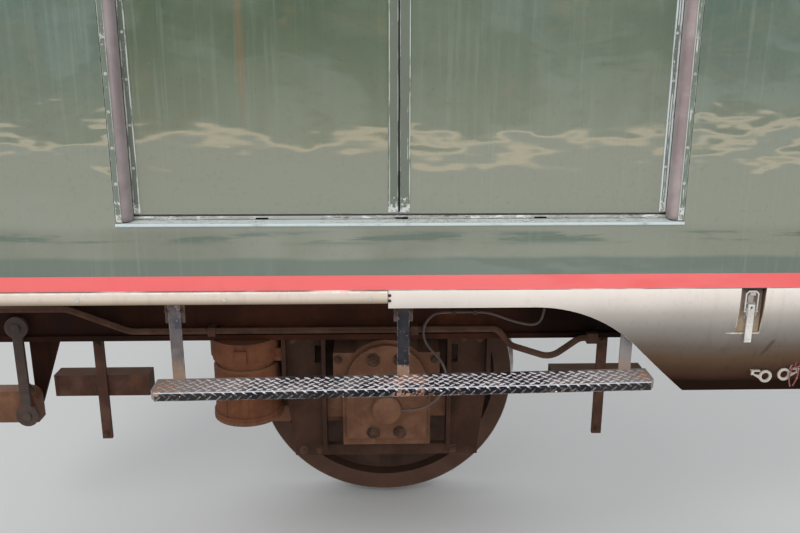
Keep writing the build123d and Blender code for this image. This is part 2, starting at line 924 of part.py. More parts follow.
with BuildPart() as side_bearer:
    with BuildSketch(plan(beam_head)):
        with Locations((-bearer_pitch, beam_depth + beam_w / 2)):
            Rectangle(side_bearer_w, beam_w)
    extrude(amount=bearer_foot - beam_head)
save(side_bearer.part, "side_bearer")

# Horn plates: one on each side of the axlebox, waisted, ribbed and slotted, tied below
horn_y = beam_depth + beam_w / 2 - horn_plate / 2
with BuildPart() as horns:
    for side in sides:
        inner = axle_x + side * horn_gap / 2
        with BuildSketch(front(horn_y)):
            with BuildLine():
                Polyline(
                    (inner, beam_foot),
                    (inner + side * horn_w, beam_foot),
                    (inner + side * horn_w, horn_waist),
                    (inner + side * (horn_w - horn_taper), horn_foot),
                    (inner, horn_foot),
                    close=True,
                )
            make_face()
            with Locations((inner + side * horn_slot_in, beam_foot - horn_slot_drop)):
                Rectangle(horn_slot_w, horn_slot_h, mode=Mode.SUBTRACT)
        extrude(amount=-horn_plate)
        for rib, rib_foot in ((0, horn_foot), (horn_w - horn_rib, horn_waist)):
            with BuildSketch(plan(beam_foot)):
                with Locations((inner + side * rib, horn_y)):
                    align = (Align.MIN if side > 0 else Align.MAX, Align.MAX)
                    Rectangle(horn_rib, horn_y - beam_depth, align=align)
            extrude(amount=rib_foot - beam_foot)
    with BuildSketch(front(horn_y)):
        with Locations((axle_x, horn_foot)):
            tie = horn_gap + 2 * (horn_w - horn_taper)
            Rectangle(tie, horn_tie_h, align=(Align.CENTER, Align.MAX))
    extrude(amount=-horn_plate)
save(horns.part, "horn_plates")

# Axlebox: arched head, square shoulders, guide lugs, and the arm with the seat of the spring pot
with BuildPart() as axlebox:
    with BuildSketch(front(box_depth)):
        with Locations((axle_x, axle_z + box_rise)):
            Circle(box_r)
            Rectangle(2 * box_r, box_rise + box_r, align=(Align.CENTER, Align.MAX))
        with Locations((axle_x, axle_z + shoulder_up)):
            Rectangle(2 * shoulder_half, shoulder_h, align=(Align.CENTER, Align.MAX))
        with Locations((axle_x, axle_z)):
            Circle(journal_r + journal_play, mode=Mode.SUBTRACT)
    extrude(amount=-box_w)
    with BuildSketch(front(horn_y)):
        for side in sides:
            with Locations((axle_x + side * (box_r - lug_root), axle_z)):
                align = (Align.MIN if side > 0 else Align.MAX, Align.CENTER)
                Rectangle(horn_gap / 2 - box_r + lug_root - lug_play, lug_h, align=align)
    extrude(amount=-horn_plate)
    with BuildSketch(front(arm_depth)):
        with Locations((axle_x - box_r + lug_root, arm_head)):
            arm = axle_x - box_r + lug_root - pot_x
            Rectangle(arm, arm_h, align=(Align.MAX, Align.MAX))
    extrude(amount=-arm_w)
    with BuildSketch(plan(arm_head)):
        with Locations((pot_x, beam_depth + beam_w / 2)):
            Circle(pot_r)
    extrude(amount=-arm_seat_t)
save(axlebox.part, "axlebox")

with BuildPart() as cover:
    with BuildSketch(front(box_depth)):
        with Locations((axle_x, axle_z + box_rise)):
            Circle(box_r - cover_margin)
            cover_h = box_rise + cover_below
            Rectangle(2 * (box_r - cover_margin), cover_h, align=(Align.CENTER, Align.MAX))
    extrude(amount=cover_t)
    with BuildSketch(front(box_depth - cover_t)):
        with Locations((axle_x, axle_z)):
            Circle(cap_r)
    extrude(amount=cap_t)
    chamfer(cover.faces().sort_by(Axis.Y)[0].edges(), cap_edge)
save(cover.part, "axlebox_cover")

# Wheelset half: journal, axle, hub, web, tread and flange as one turned piece
with BuildPart() as wheelset:
    with BuildSketch(section(axle_x)):
        with BuildLine():
            back = wheel_depth + wheel_w
            web_out = wheel_depth + (wheel_w - web_t) / 2
            profile = [
                (box_depth + journal_end, 0),
                (box_depth + journal_end, journal_r),
                (box_depth + box_w + box_gap, journal_r),
                (box_depth + box_w + box_gap, axle_r),
                (wheel_depth - hub_out, axle_r),
                (wheel_depth - hub_out, hub_r),
                (web_out, hub_r),
                (web_out, wheel_r - rim_t),
                (wheel_depth, wheel_r - rim_t),
                (wheel_depth, wheel_r),
                (back - flange_w, wheel_r),
                (back - flange_w / 2, wheel_r + flange_h),
                (back, wheel_r + flange_h / 2),
                (back, wheel_r - rim_t),
                (web_out + web_t, wheel_r - rim_t),
                (web_out + web_t, hub_r),
                (back + hub_out, hub_r),
                (back + hub_out, axle_r),
                (bay_depth - axle_end, axle_r),
                (bay_depth - axle_end, 0),
            ]
            Polyline(*[(depth, axle_z + r) for depth, r in profile], close=True)
        make_face()
    axle_line = Axis((axle_x, skin_y, foot_z + axle_z), (0, 1, 0))
    revolve(axis=axle_line)
save(wheelset.part, "wheelset")

# Spring pot: an upper housing under the beam over a lower cup on the axlebox arm
pot_y = beam_depth + beam_w / 2
with BuildPart() as pot_top:
    for drop, radius, height in (
        (0, pot_r, pot_h),
        (pot_h, pot_r - pot_rim, pot_rim_h),
        (pot_h + pot_rim_h, pot_r - pot_neck, pot_neck_h),
    ):
        with BuildSketch(plan(beam_foot - drop)):
            with Locations((pot_x, pot_y)):
                Circle(radius)
        extrude(amount=-height)
    with BuildSketch(front(pot_y)):
        with Locations((pot_x, beam_foot - pot_pad_drop)):
            Rectangle(pot_pad_w, pot_pad_h, align=(Align.CENTER, Align.MAX))
    extrude(amount=pot_r + pot_pad_out)
    with BuildSketch(front(pot_lug_depth)):
        with Locations((pot_x, beam_foot - pot_lug_drop)):
            pot_lug = axle_x - horn_gap / 2 - horn_w - pot_x
            Rectangle(pot_lug, pot_lug_h, align=(Align.MIN, Align.MAX))
    extrude(amount=-pot_lug_t)
save(pot_top.part, "spring_housing")

with BuildPart() as pot_cup:
    cup_top = beam_foot - pot_h - pot_rim_h - pot_neck_h
    cup_h = cup_top - arm_head
    for radius, height in ((pot_r - cup_in, cup_h), (pot_r - cup_foot_in, cup_foot_h)):
        with BuildSketch(plan(arm_head)):
            with Locations((pot_x, pot_y)):
                Circle(radius)
        extrude(amount=height)
    chamfer(pot_cup.edges().group_by(Axis.Z)[-1], cup_edge)
save(pot_cup.part, "spring_cup")

# Brake pipe along the beam, dipping to its union, and the clips that hold it
pipe_route = (
    (beam_left, -385),
    (-1100, -385),
    (-900, pipe_level),
    (334, pipe_level),
    (378, -524),
    (520, -571),
    (union_x - union_lead, -500),
    (union_x, -500),
)
with BuildPart() as pipe:
    with BuildLine(front(pipe_depth)) as run:
        FilletPolyline(*pipe_route, radius=pipe_bends)
    with BuildSketch(Plane(origin=run.line @ 0, z_dir=run.line % 0)):
        Circle(pipe_r)
    sweep()
save(pipe.part, "brake_pipe")

with BuildPart() as pipe_clips:
    for x in pipe_clip_x:
        with BuildSketch(section(x)):
            with Locations((beam_depth, pipe_level)):
                reach = beam_depth - pipe_depth + pipe_r + clip_t
                Rectangle(reach, 2 * (pipe_r + clip_t), align=(Align.MAX, Align.CENTER))
            with Locations((pipe_depth, pipe_level)):
                Circle(pipe_r + pivot_play, mode=Mode.SUBTRACT)
        extrude(amount=pipe_clip_w)
    with BuildSketch(front(beam_depth - beam_flange)):
        with Locations((union_x, pipe_route[-1][1])):
            Rectangle(union_w, union_h, align=(Align.MIN, Align.CENTER))
    extrude(amount=2 * pipe_r + pipe_off)
save(pipe_clips.part, "pipe_clips")

# Cable from the axlebox cap to its gland on the beam, over the pipe and through two clips
cable_route = (
    (axle_x + cap_r + seat_gap, axle_z),
    (72, axle_z),
    (138, -716),
    (168, -640),
    (145, -570),
    (90, -515),
    (78, -455),
    (110, -406),
    (150, cable_level),
    (285, cable_level),
    (320, -408),
    (395, -437),
    (468, -450),
    (gland_x, -400),
    (gland_x, -345),
)
with BuildPart() as cable:
    with BuildLine(front(cable_depth)) as lead:
        FilletPolyline(*cable_route, radius=easy_radii(cable_route))
    with BuildSketch(Plane(origin=lead.line @ 0, z_dir=lead.line % 0)):
        RegularPolygon(cable_r, cable_sides)
    sweep()
save(cable.part, "axlebox_cable")
print("cable bend radii", [round(r) for r in easy_radii(cable_route)])
print("cable length", round(lead.wires()[0].length))

with BuildPart() as cable_clips:
    for x in cable_clip_x:
        with BuildSketch(section(x)):
            with Locations((beam_depth, cable_level)):
                reach = beam_depth - cable_depth + cable_r + clip_t
                Rectangle(reach, 2 * (cable_r + clip_t), align=(Align.MAX, Align.CENTER))
            with Locations((cable_depth, cable_level)):
                Circle(cable_r + pivot_play, mode=Mode.SUBTRACT)
        extrude(amount=cable_clip_w)
    with BuildSketch(front(beam_depth)):
        with Locations((gland_x, cable_route[-1][1])):
            Rectangle(gland_w, gland_h, align=(Align.CENTER, Align.MIN))
    extrude(amount=beam_depth - cable_depth + 2 * cable_r)
save(cable_clips.part, "cable_clips")

# Brake hangers under the beam and the brake beam on each
with BuildPart() as brake_hangers:
    with BuildSketch(front(hanger_bar_depth)):
        for x in hanger_bar_x:
            with Locations((x, beam_foot)):
                Rectangle(hanger_bar_w, beam_foot - hanger_bar_foot, align=(Align.CENTER, Align.MAX))
    extrude(amount=-hanger_bar_t)
save(brake_hangers.part, "brake_hangers")

with BuildPart() as brake_beams:
    with BuildSketch(front(hanger_bar_depth + hanger_bar_t)):
        for x in hanger_bar_x:
            with Locations((x + brake_beam_shift, brake_beam_head)):
                Rectangle(brake_beam_w, brake_beam_h, align=(Align.CENTER, Align.MAX))
    extrude(amount=-brake_beam_t)
save(brake_beams.part, "brake_beams")

# Swing link on a pin in the beam, and the end of the spring plank that it carries
link_depth = beam_depth - beam_flange - link_t - pipe_off
with BuildPart() as link:
    with BuildSketch(front(link_depth)):
        with Locations((link_x, link_eye), (link_x, link_foot)):
            Circle(link_eye_r)
        with Locations((link_x, link_eye)):
            Rectangle(link_w, link_eye - link_foot, align=(Align.CENTER, Align.MAX))
    extrude(amount=-link_t)
    with BuildSketch(front(beam_depth)):
        with Locations((link_x, link_eye), (link_x, link_foot)):
            Circle(link_pin_r)
    extrude(amount=beam_depth - link_depth + link_pin_out)
save(link.part, "swing_link")

with BuildPart() as plank:
    with BuildSketch(front(beam_depth)):
        with Locations((beam_left, plank_foot)):
            Rectangle(plank_w, plank_head - plank_foot, align=(Align.MIN, Align.MIN))
    extrude(amount=-beam_w / 2)
    corner = plank.edges().filter_by(Axis.Y).sort_by(Axis.X)[-2:].sort_by(Axis.Z)[-1]
    fillet(corner, plank_corner)
save(plank.part, "spring_plank")

# Eyes at the curved foot of the skirt: upright rings whose tails hang from tabs that stand out of it
with BuildPart() as eyes:
    for from_end, eye_z, way in zip(eye_from_end, eye_height, (-1, 1)):
        eye_x = half_bay - from_end
        tip_x, tip_z = eye_x + way * eye_tail, eye_z + eye_tail_up
        with BuildSketch(front(eye_depth)):
            with Locations((eye_x, eye_z)):
                Circle(eye_r)
            with BuildLine():
                Polyline((eye_x, eye_z), (eye_x, eye_z - eye_r), (tip_x, tip_z), close=True)
            make_face()
            with Locations((tip_x - way * eye_strap_w / 2, tip_z - eye_strap_w / 2)):
                strap = eye_tab_up - eye_tail_up + eye_strap_w / 2
                Rectangle(eye_strap_w, strap, align=(Align.CENTER, Align.MIN))
            with Locations((eye_x, eye_z)):
                Circle(eye_hole_r, mode=Mode.SUBTRACT)
        extrude(amount=-eye_t)
        with BuildSketch(front(eye_depth)):
            with Locations((tip_x - way * eye_tab_w / 2, eye_z + eye_tab_up)):
                Rectangle(eye_tab_w, eye_t)
        extrude(amount=-eye_tab_reach)
    with BuildSketch(section(half_bay)):
        with Locations((skirt_radius, skirt_start)):
            Circle(skirt_radius + seat_gap)
    extrude(amount=-bay_length / 2, mode=Mode.SUBTRACT)
save(eyes.part, "skirt_eyes")
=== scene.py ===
# %% [markdown]
# Side door bay of a passenger coach, dressed for a picture.
# The solid model comes in packed as a frame: every node already stands where it belongs, in metres,
# with X along the coach, Y into it and Z up. This script adds what solids leave out, which is paint,
# dirt, rust, screws, tread lugs and soft strips, and then a camera, a floor and soft light.
# The frame is loaded first, because every later step measures itself against it.

# %% Load the frame
import bmesh
import bpy
import math
import random
from mathutils import Matrix, Vector


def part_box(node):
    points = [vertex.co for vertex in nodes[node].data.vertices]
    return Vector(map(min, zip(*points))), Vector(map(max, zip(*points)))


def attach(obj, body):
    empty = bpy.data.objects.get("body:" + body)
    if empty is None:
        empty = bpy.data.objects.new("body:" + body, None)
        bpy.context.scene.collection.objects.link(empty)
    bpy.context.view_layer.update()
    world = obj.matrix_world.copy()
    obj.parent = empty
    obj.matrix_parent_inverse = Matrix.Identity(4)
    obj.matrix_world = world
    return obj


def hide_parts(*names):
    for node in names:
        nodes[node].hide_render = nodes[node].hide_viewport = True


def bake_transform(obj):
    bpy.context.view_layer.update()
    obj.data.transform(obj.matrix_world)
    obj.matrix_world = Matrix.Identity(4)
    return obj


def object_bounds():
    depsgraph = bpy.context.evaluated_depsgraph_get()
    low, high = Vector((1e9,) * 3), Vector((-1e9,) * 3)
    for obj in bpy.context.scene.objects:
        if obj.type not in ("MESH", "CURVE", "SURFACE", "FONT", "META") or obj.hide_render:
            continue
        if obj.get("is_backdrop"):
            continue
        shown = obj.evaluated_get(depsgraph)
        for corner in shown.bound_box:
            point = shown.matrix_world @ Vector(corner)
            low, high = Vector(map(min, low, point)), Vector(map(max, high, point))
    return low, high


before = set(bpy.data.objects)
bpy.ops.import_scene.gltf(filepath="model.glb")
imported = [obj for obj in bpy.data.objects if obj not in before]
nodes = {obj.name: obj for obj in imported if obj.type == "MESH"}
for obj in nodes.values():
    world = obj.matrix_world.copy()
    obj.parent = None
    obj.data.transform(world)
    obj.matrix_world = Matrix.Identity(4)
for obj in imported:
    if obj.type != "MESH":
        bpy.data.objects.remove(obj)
cad_low, cad_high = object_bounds()

# %% [markdown]
# The drawings give depths from the outer face of the body side and heights from the foot of the
# doors. One small function turns such a place into frame metres, so that the numbers below can be
# read against the drawings. The skin and the doors' feet are read from the frame itself. A leaf's
# box starts at the end of its lower pin, 28 mm under its foot.

# %% Places on the coach
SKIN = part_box("body_side")[0].y
LOWER_PIN = 0.028
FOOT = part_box("door_leaf_left")[0].z + LOWER_PIN
MM = 0.001
SIDES = (("left", -1), ("right", 1))


def at(x, depth, height):
    """A place in frame metres from millimetres along, behind the skin and over the doors' feet."""
    return Vector((x * MM, SKIN + depth * MM, FOOT + height * MM))


def placed(name, data):
    """A new object in the scene."""
    piece = bpy.data.objects.new(name, data)
    bpy.context.scene.collection.objects.link(piece)
    return piece


print("skin at y", round(SKIN, 3), "feet of the doors at z", round(FOOT, 3))

# %% [markdown]
# The camera comes early, because everything below is looked at through it. Its place and turn were
# worked out from the doorway's corners, the footboard and the square slabs in front of the coach: it
# stands 2.26 m from the side and 0.49 m above the doors' feet, and looks down by 16 degrees.

# %% Camera
LENS_PIXELS, PICTURE_WIDTH, SENSOR = 823.6, 800, 36.0
EYE = Vector((-0.0685, -3.124, 0.5877))
YAW, PITCH, ROLL = math.radians(1.57), math.radians(15.68), math.radians(0.11)


def make_camera():
    """A camera at the eye, aimed by yaw, pitch and roll."""
    data = bpy.data.cameras.new("camera")
    data.sensor_width = SENSOR
    data.lens = LENS_PIXELS * SENSOR / PICTURE_WIDTH
    ahead = Vector((math.sin(YAW) * math.cos(PITCH), math.cos(YAW) * math.cos(PITCH), -math.sin(PITCH)))
    right = Vector((math.cos(YAW), -math.sin(YAW), 0))
    up = right.cross(ahead)
    right, up = (
        right * math.cos(ROLL) + up * math.sin(ROLL),
        up * math.cos(ROLL) - right * math.sin(ROLL),
    )
    camera = placed("camera", data)
    turn = Matrix((right, up, -ahead)).transposed().to_4x4()
    camera.matrix_world = Matrix.Translation(EYE) @ turn
    bpy.context.scene.camera = camera
    return camera


camera = make_camera()
print("camera lens", round(camera.data.lens, 2), "mm")

# %% [markdown]
# Materials are node trees. Writing each node by hand takes many lines, so a few helpers do it: they
# add a node and feed its inputs, do a sum, bring a value into a range, or mix two colours by a mask.
# An input can take a plain value or another node's output, and the helper links the second kind.

# %% Helpers for node trees
def node(tree, kind, feeds=None, **options):
    """Adds a node, sets its options and feeds its inputs with values or links."""
    made = tree.nodes.new(kind)
    for option, value in options.items():
        setattr(made, option, value)
    for name, value in (feeds or {}).items():
        socket = made.inputs[name]
        if isinstance(value, bpy.types.NodeSocket):
            tree.links.new(value, socket)
        else:
            socket.default_value = value
    return made


def first(tree, kind, feeds=None, **options):
    """The first output of a new node."""
    return node(tree, kind, feeds, **options).outputs[0]


def sum_of(tree, operation, a, b=0.0, c=0.0, clamp=False):
    """The output of a Math node."""
    feeds = {0: a, 1: b, 2: c} if operation == "MULTIPLY_ADD" else {0: a, 1: b}
    return first(tree, "ShaderNodeMath", feeds, operation=operation, use_clamp=clamp)


def times(tree, a, b):
    """One value times another."""
    return sum_of(tree, "MULTIPLY", a, b)


def ramp_between(tree, value, low, high, start=0.0, end=1.0, smooth=True):
    """A value brought from low..high to start..end, held at both ends."""
    feeds = {"Value": value, "From Min": low, "From Max": high, "To Min": start, "To Max": end}
    kind = "SMOOTHSTEP" if smooth else "LINEAR"
    return first(tree, "ShaderNodeMapRange", feeds, interpolation_type=kind)


def tint(tree, mask, under, over, blend="MIX"):
    """One colour over another by a mask."""
    made = node(tree, "ShaderNodeMix", {0: mask, 6: under, 7: over}, data_type="RGBA", blend_type=blend)
    return made.outputs[2]


def rgb(*parts):
    """A colour with its alpha."""
    return (*parts, 1.0)


def slope_of(tree, value, stops):
    """A colour that changes along a value, through a list of (value, colour) stops."""
    low, high = stops[0][0], stops[-1][0]
    share = ramp_between(tree, value, low, high, smooth=False)
    made = node(tree, "ShaderNodeValToRGB", {0: share})
    ramp = made.color_ramp
    for place, colour in stops[1:-1]:
        ramp.elements.new((place - low) / (high - low))
    for element, (place, colour) in zip(ramp.elements, stops):
        element.color = rgb(*colour)
    return made.outputs[0]


# %% [markdown]
# Dirt, chips, streaks and bent sheet show on every part of a working coach, so each is a shader
# node group, built once and placed in every material with its own sizes. A group only gives out
# masks and heights. The colours stay in the materials, because soot on cream is not soot on green.

# %% Shared effects: a group with named inputs and outputs
def new_group(name, family, inputs, outputs, kind_out):
    """An empty node group with its sockets, and the sockets of its two end nodes."""
    group = bpy.data.node_groups.new(name, family)
    for word, kind, value in inputs:
        socket = group.interface.new_socket(word, in_out="INPUT", socket_type=f"NodeSocket{kind}")
        if value is not None:
            socket.default_value = value
    for word in outputs:
        group.interface.new_socket(word, in_out="OUTPUT", socket_type=f"NodeSocket{kind_out}")
    return group, group.nodes.new("NodeGroupInput").outputs, group.nodes.new("NodeGroupOutput").inputs


def effect_group(name, sizes, outputs):
    """A shader group that takes a place and some sizes."""
    inputs = [("Place", "Vector", None)] + [(word, "Float", value) for word, value in sizes.items()]
    return new_group(name, "ShaderNodeTree", inputs, outputs, "Float")


def noise(tree, place, scale, detail=4.0, rough=0.55, warp=0.0):
    """The value of a noise texture."""
    feeds = {"Vector": place, "Scale": scale, "Detail": detail, "Roughness": rough, "Distortion": warp}
    return first(tree, "ShaderNodeTexNoise", feeds)


def stretched(tree, place, by):
    """Object coordinates multiplied along each axis."""
    feeds = {0: place, 1: by}
    return first(tree, "ShaderNodeVectorMath", feeds, operation="MULTIPLY")


# %% Grime: broad blotches, fine specks and runs that hang down from above
def make_grime():
    """Blotch, speck and run masks from the place on the object."""
    sizes = {"Blotch size": 3.0, "Speck size": 60.0, "Run size": 22.0}
    group, start, end = effect_group("grime", sizes, ("Blotch", "Speck", "Run"))
    place = start["Place"]
    broad = noise(group, place, start["Blotch size"], 6.0, 0.62, 0.4)
    group.links.new(ramp_between(group, broad, 0.38, 0.68), end["Blotch"])
    speck = noise(group, place, start["Speck size"], 3.0, 0.6)
    group.links.new(ramp_between(group, speck, 0.56, 0.72), end["Speck"])
    hung = stretched(group, place, (1.0, 1.0, 0.035))
    run = noise(group, hung, start["Run size"], 5.0, 0.65)
    patchy = ramp_between(group, noise(group, place, 1.7, 2.0), 0.35, 0.65)
    run_mask = times(group, ramp_between(group, run, 0.50, 0.72), patchy)
    group.links.new(run_mask, end["Run"])
    return group


GRIME = make_grime()
print("group", GRIME.name, "gives", [s.name for s in GRIME.interface.items_tree if s.in_out == "OUTPUT"])

# %% Chips: hard-edged flakes, and wear along edges
def make_chips():
    """Flakes out of the paint, and the edges that are rubbed bare."""
    sizes = {"Flake size": 45.0, "Flaked": 0.3, "Edge width": 0.002, "Edge wear": 0.5}
    group, start, end = effect_group("chips", sizes, ("Flakes", "Edge"))
    place = start["Place"]
    ragged = noise(group, place, start["Flake size"], 5.0, 0.7, 0.6)
    where = noise(group, place, 2.3, 3.0, 0.6)
    both = sum_of(group, "ADD", ragged, times(group, where, 0.45))
    limit = ramp_between(group, start["Flaked"], 0.0, 1.0, 1.05, 0.62, smooth=False)
    flakes = ramp_between(group, sum_of(group, "SUBTRACT", both, limit), 0.0, 0.02)
    group.links.new(flakes, end["Flakes"])
    soft = first(group, "ShaderNodeBevel", {"Radius": start["Edge width"]}, samples=4)
    flat = node(group, "ShaderNodeNewGeometry").outputs["Normal"]
    pair = {0: soft, 1: flat}
    along = node(group, "ShaderNodeVectorMath", pair, operation="DOT_PRODUCT").outputs["Value"]
    turned = ramp_between(group, along, 0.995, 0.86)
    broken = ramp_between(group, noise(group, place, 38.0, 4.0, 0.7), 0.62, 0.36)
    worn = times(group, times(group, turned, broken), start["Edge wear"])
    group.links.new(worn, end["Edge"])
    return group


CHIPS = make_chips()
print("group", CHIPS.name, "ready")

# %% Sheet: the slow waves and small dents of thin plate on a frame
def make_sheet_waves():
    """One height for a Bump node, in metres."""
    sizes = {"Wave size": 4.0, "Wave height": 0.0008, "Ripple height": 0.0, "Grain height": 0.00002}
    group, start, end = effect_group("sheet_waves", sizes, ("Height",))
    place = start["Place"]
    slow = noise(group, stretched(group, place, (0.7, 1.0, 1.25)), start["Wave size"], 1.0, 0.4, 0.25)
    quick = noise(group, stretched(group, place, (0.6, 1.0, 1.4)), 17.0, 1.0, 0.4)
    fine = noise(group, place, 420.0, 2.0, 0.5)
    high = times(group, slow, start["Wave height"])
    high = sum_of(group, "ADD", high, times(group, quick, start["Ripple height"]))
    both = sum_of(group, "ADD", high, times(group, fine, start["Grain height"]))
    group.links.new(both, end["Height"])
    return group


SHEET = make_sheet_waves()
print("group", SHEET.name, "ready")

# %% [markdown]
# Every material starts alike: a Principled shader, the place on the object in metres, and the
# groups it needs. The sizes that are the same all over stay on the shader's own sockets.

# %% A material to start from
class Finish:
    """A material under construction: its tree, its shader and the place on the object."""

    def __init__(self, name, **sockets):
        self.material = bpy.data.materials.new(name)
        self.material.use_nodes = True
        self.tree = self.material.node_tree
        self.shader = self.tree.nodes["Principled BSDF"]
        for socket, value in sockets.items():
            self.shader.inputs[socket.replace("_", " ")].default_value = value
        self.place = node(self.tree, "ShaderNodeTexCoord").outputs["Object"]
        parts = node(self.tree, "ShaderNodeSeparateXYZ", {0: self.place}).outputs
        self.x, self.y, self.z = parts[0], parts[1], parts[2]

    def use(self, group, **sizes):
        """Places a shared effect with this material's own sizes."""
        feeds = {word.replace("_", " "): value for word, value in sizes.items()}
        feeds["Place"] = self.place
        return node(self.tree, "ShaderNodeGroup", feeds, node_tree=group).outputs

    def grime(self, blotch, speck, run):
        return self.use(GRIME, Blotch_size=blotch, Speck_size=speck, Run_size=run)

    def chips(self, flake, flaked, width, wear):
        return self.use(CHIPS, Flake_size=flake, Flaked=flaked, Edge_width=width, Edge_wear=wear)

    def sum(self, operation, *values):
        return sum_of(self.tree, operation, *values)

    def both(self, a, b):
        return self.sum("MULTIPLY", a, b)

    def either(self, a, b):
        return self.sum("MAXIMUM", a, b)

    def share(self, a, amount):
        return sum_of(self.tree, "MULTIPLY", a, amount, clamp=True)

    def off(self, value, middle):
        """How far a value is from a middle one."""
        return self.sum("ABSOLUTE", self.sum("SUBTRACT", value, middle))

    def mask(self, value, low, high):
        return ramp_between(self.tree, value, low, high)

    def up(self, low, high):
        """A mask on the height over the doors' feet."""
        return self.mask(self.z, FOOT + low, FOOT + high)

    def deep(self, low, high):
        """A mask on the depth behind the skin."""
        return self.mask(self.y, SKIN + low, SKIN + high)

    def span(self, share, start, end):
        """A share of nought to one brought to start..end."""
        return ramp_between(self.tree, share, 0.0, 1.0, start, end, smooth=False)

    def noise(self, scale, detail=4.0, rough=0.55, warp=0.0, along=None):
        """A noise at the place on the object, which may be stretched along its axes."""
        place = stretched(self.tree, self.place, along) if along else self.place
        return noise(self.tree, place, scale, detail, rough, warp)

    def facing(self):
        """The three parts of the way a face points."""
        normal = node(self.tree, "ShaderNodeNewGeometry").outputs["Normal"]
        return node(self.tree, "ShaderNodeSeparateXYZ", {0: normal}).outputs

    def tint(self, mask, under, over, blend="MIX"):
        return tint(self.tree, mask, under, over, blend)

    def lay(self, under, mask, amount, over, blend="MIX"):
        """One colour laid over another by a share of a mask."""
        return self.tint(self.share(mask, amount), under, over, blend)

    def feed(self, word, value):
        self.tree.links.new(value, self.shader.inputs[word])

    def bump(self, height, strength=1.0, distance=1.0):
        feeds = {"Height": height, "Strength": strength, "Distance": distance}
        return first(self.tree, "ShaderNodeBump", feeds)

    def done(self, colour, rough, height, strength=1.0, distance=1.0):
        """Feeds colour, roughness as (share, start, end) and bump, and gives the material."""
        self.feed("Base Color", colour)
        self.feed("Roughness", self.span(*rough))
        self.feed("Normal", self.bump(height, strength, distance))
        return self.material


# %% [markdown]
# The body side is old gloss enamel: dark green where it is clean, and sage lower down, which is
# road dust together with a painted reflection of the pale ground. A darker band over the red line
# along its foot, and dark streaks above it, are painted reflections of the platform's edge. It works
# like a mirror in daylight, so the look comes less from its colour than from a clear coat over gently
# waved sheet. The doors are stiffer than the side, and so they wave less. One function paints every
# enamelled node, with a pale lining on the side that faces into the coach, because the solids have no
# separate lining.

# %% Green enamel
# Sage of road dust mixed with a painted reflection of the pale ground.
SAGE_DUST_AND_REFLECTION = rgb(0.282, 0.284, 0.206)
STRIPE_RED = rgb(0.98, 0.085, 0.085)
LINING = rgb(0.47, 0.42, 0.31)
DADO = FOOT + 0.86


def lining_colour(f, grime):
    """Cream panels over brown ones, with a dark joint between them."""
    colour = f.lay(LINING, grime["Blotch"], 0.4, rgb(0.36, 0.30, 0.20))
    below = f.mask(f.z, DADO + 0.0005, DADO - 0.0005)
    lower = f.lay(rgb(0.235, 0.155, 0.085), grime["Blotch"], 0.5, rgb(0.165, 0.105, 0.058))
    scuffed = f.both(f.up(0.42, 0.10), f.mask(f.noise(13.0, 5.0, 0.7), 0.50, 0.66))
    lower = f.lay(lower, scuffed, 0.6, rgb(0.070, 0.052, 0.040))
    colour = f.tint(below, colour, lower)
    off_level = f.off(f.z, DADO)
    off_side = f.off(f.sum("ABSOLUTE", f.x), 1.12)
    joint = f.mask(f.sum("MINIMUM", off_level, off_side), 0.0028, 0.0012)
    return f.lay(colour, joint, 0.85, rgb(0.050, 0.038, 0.026))


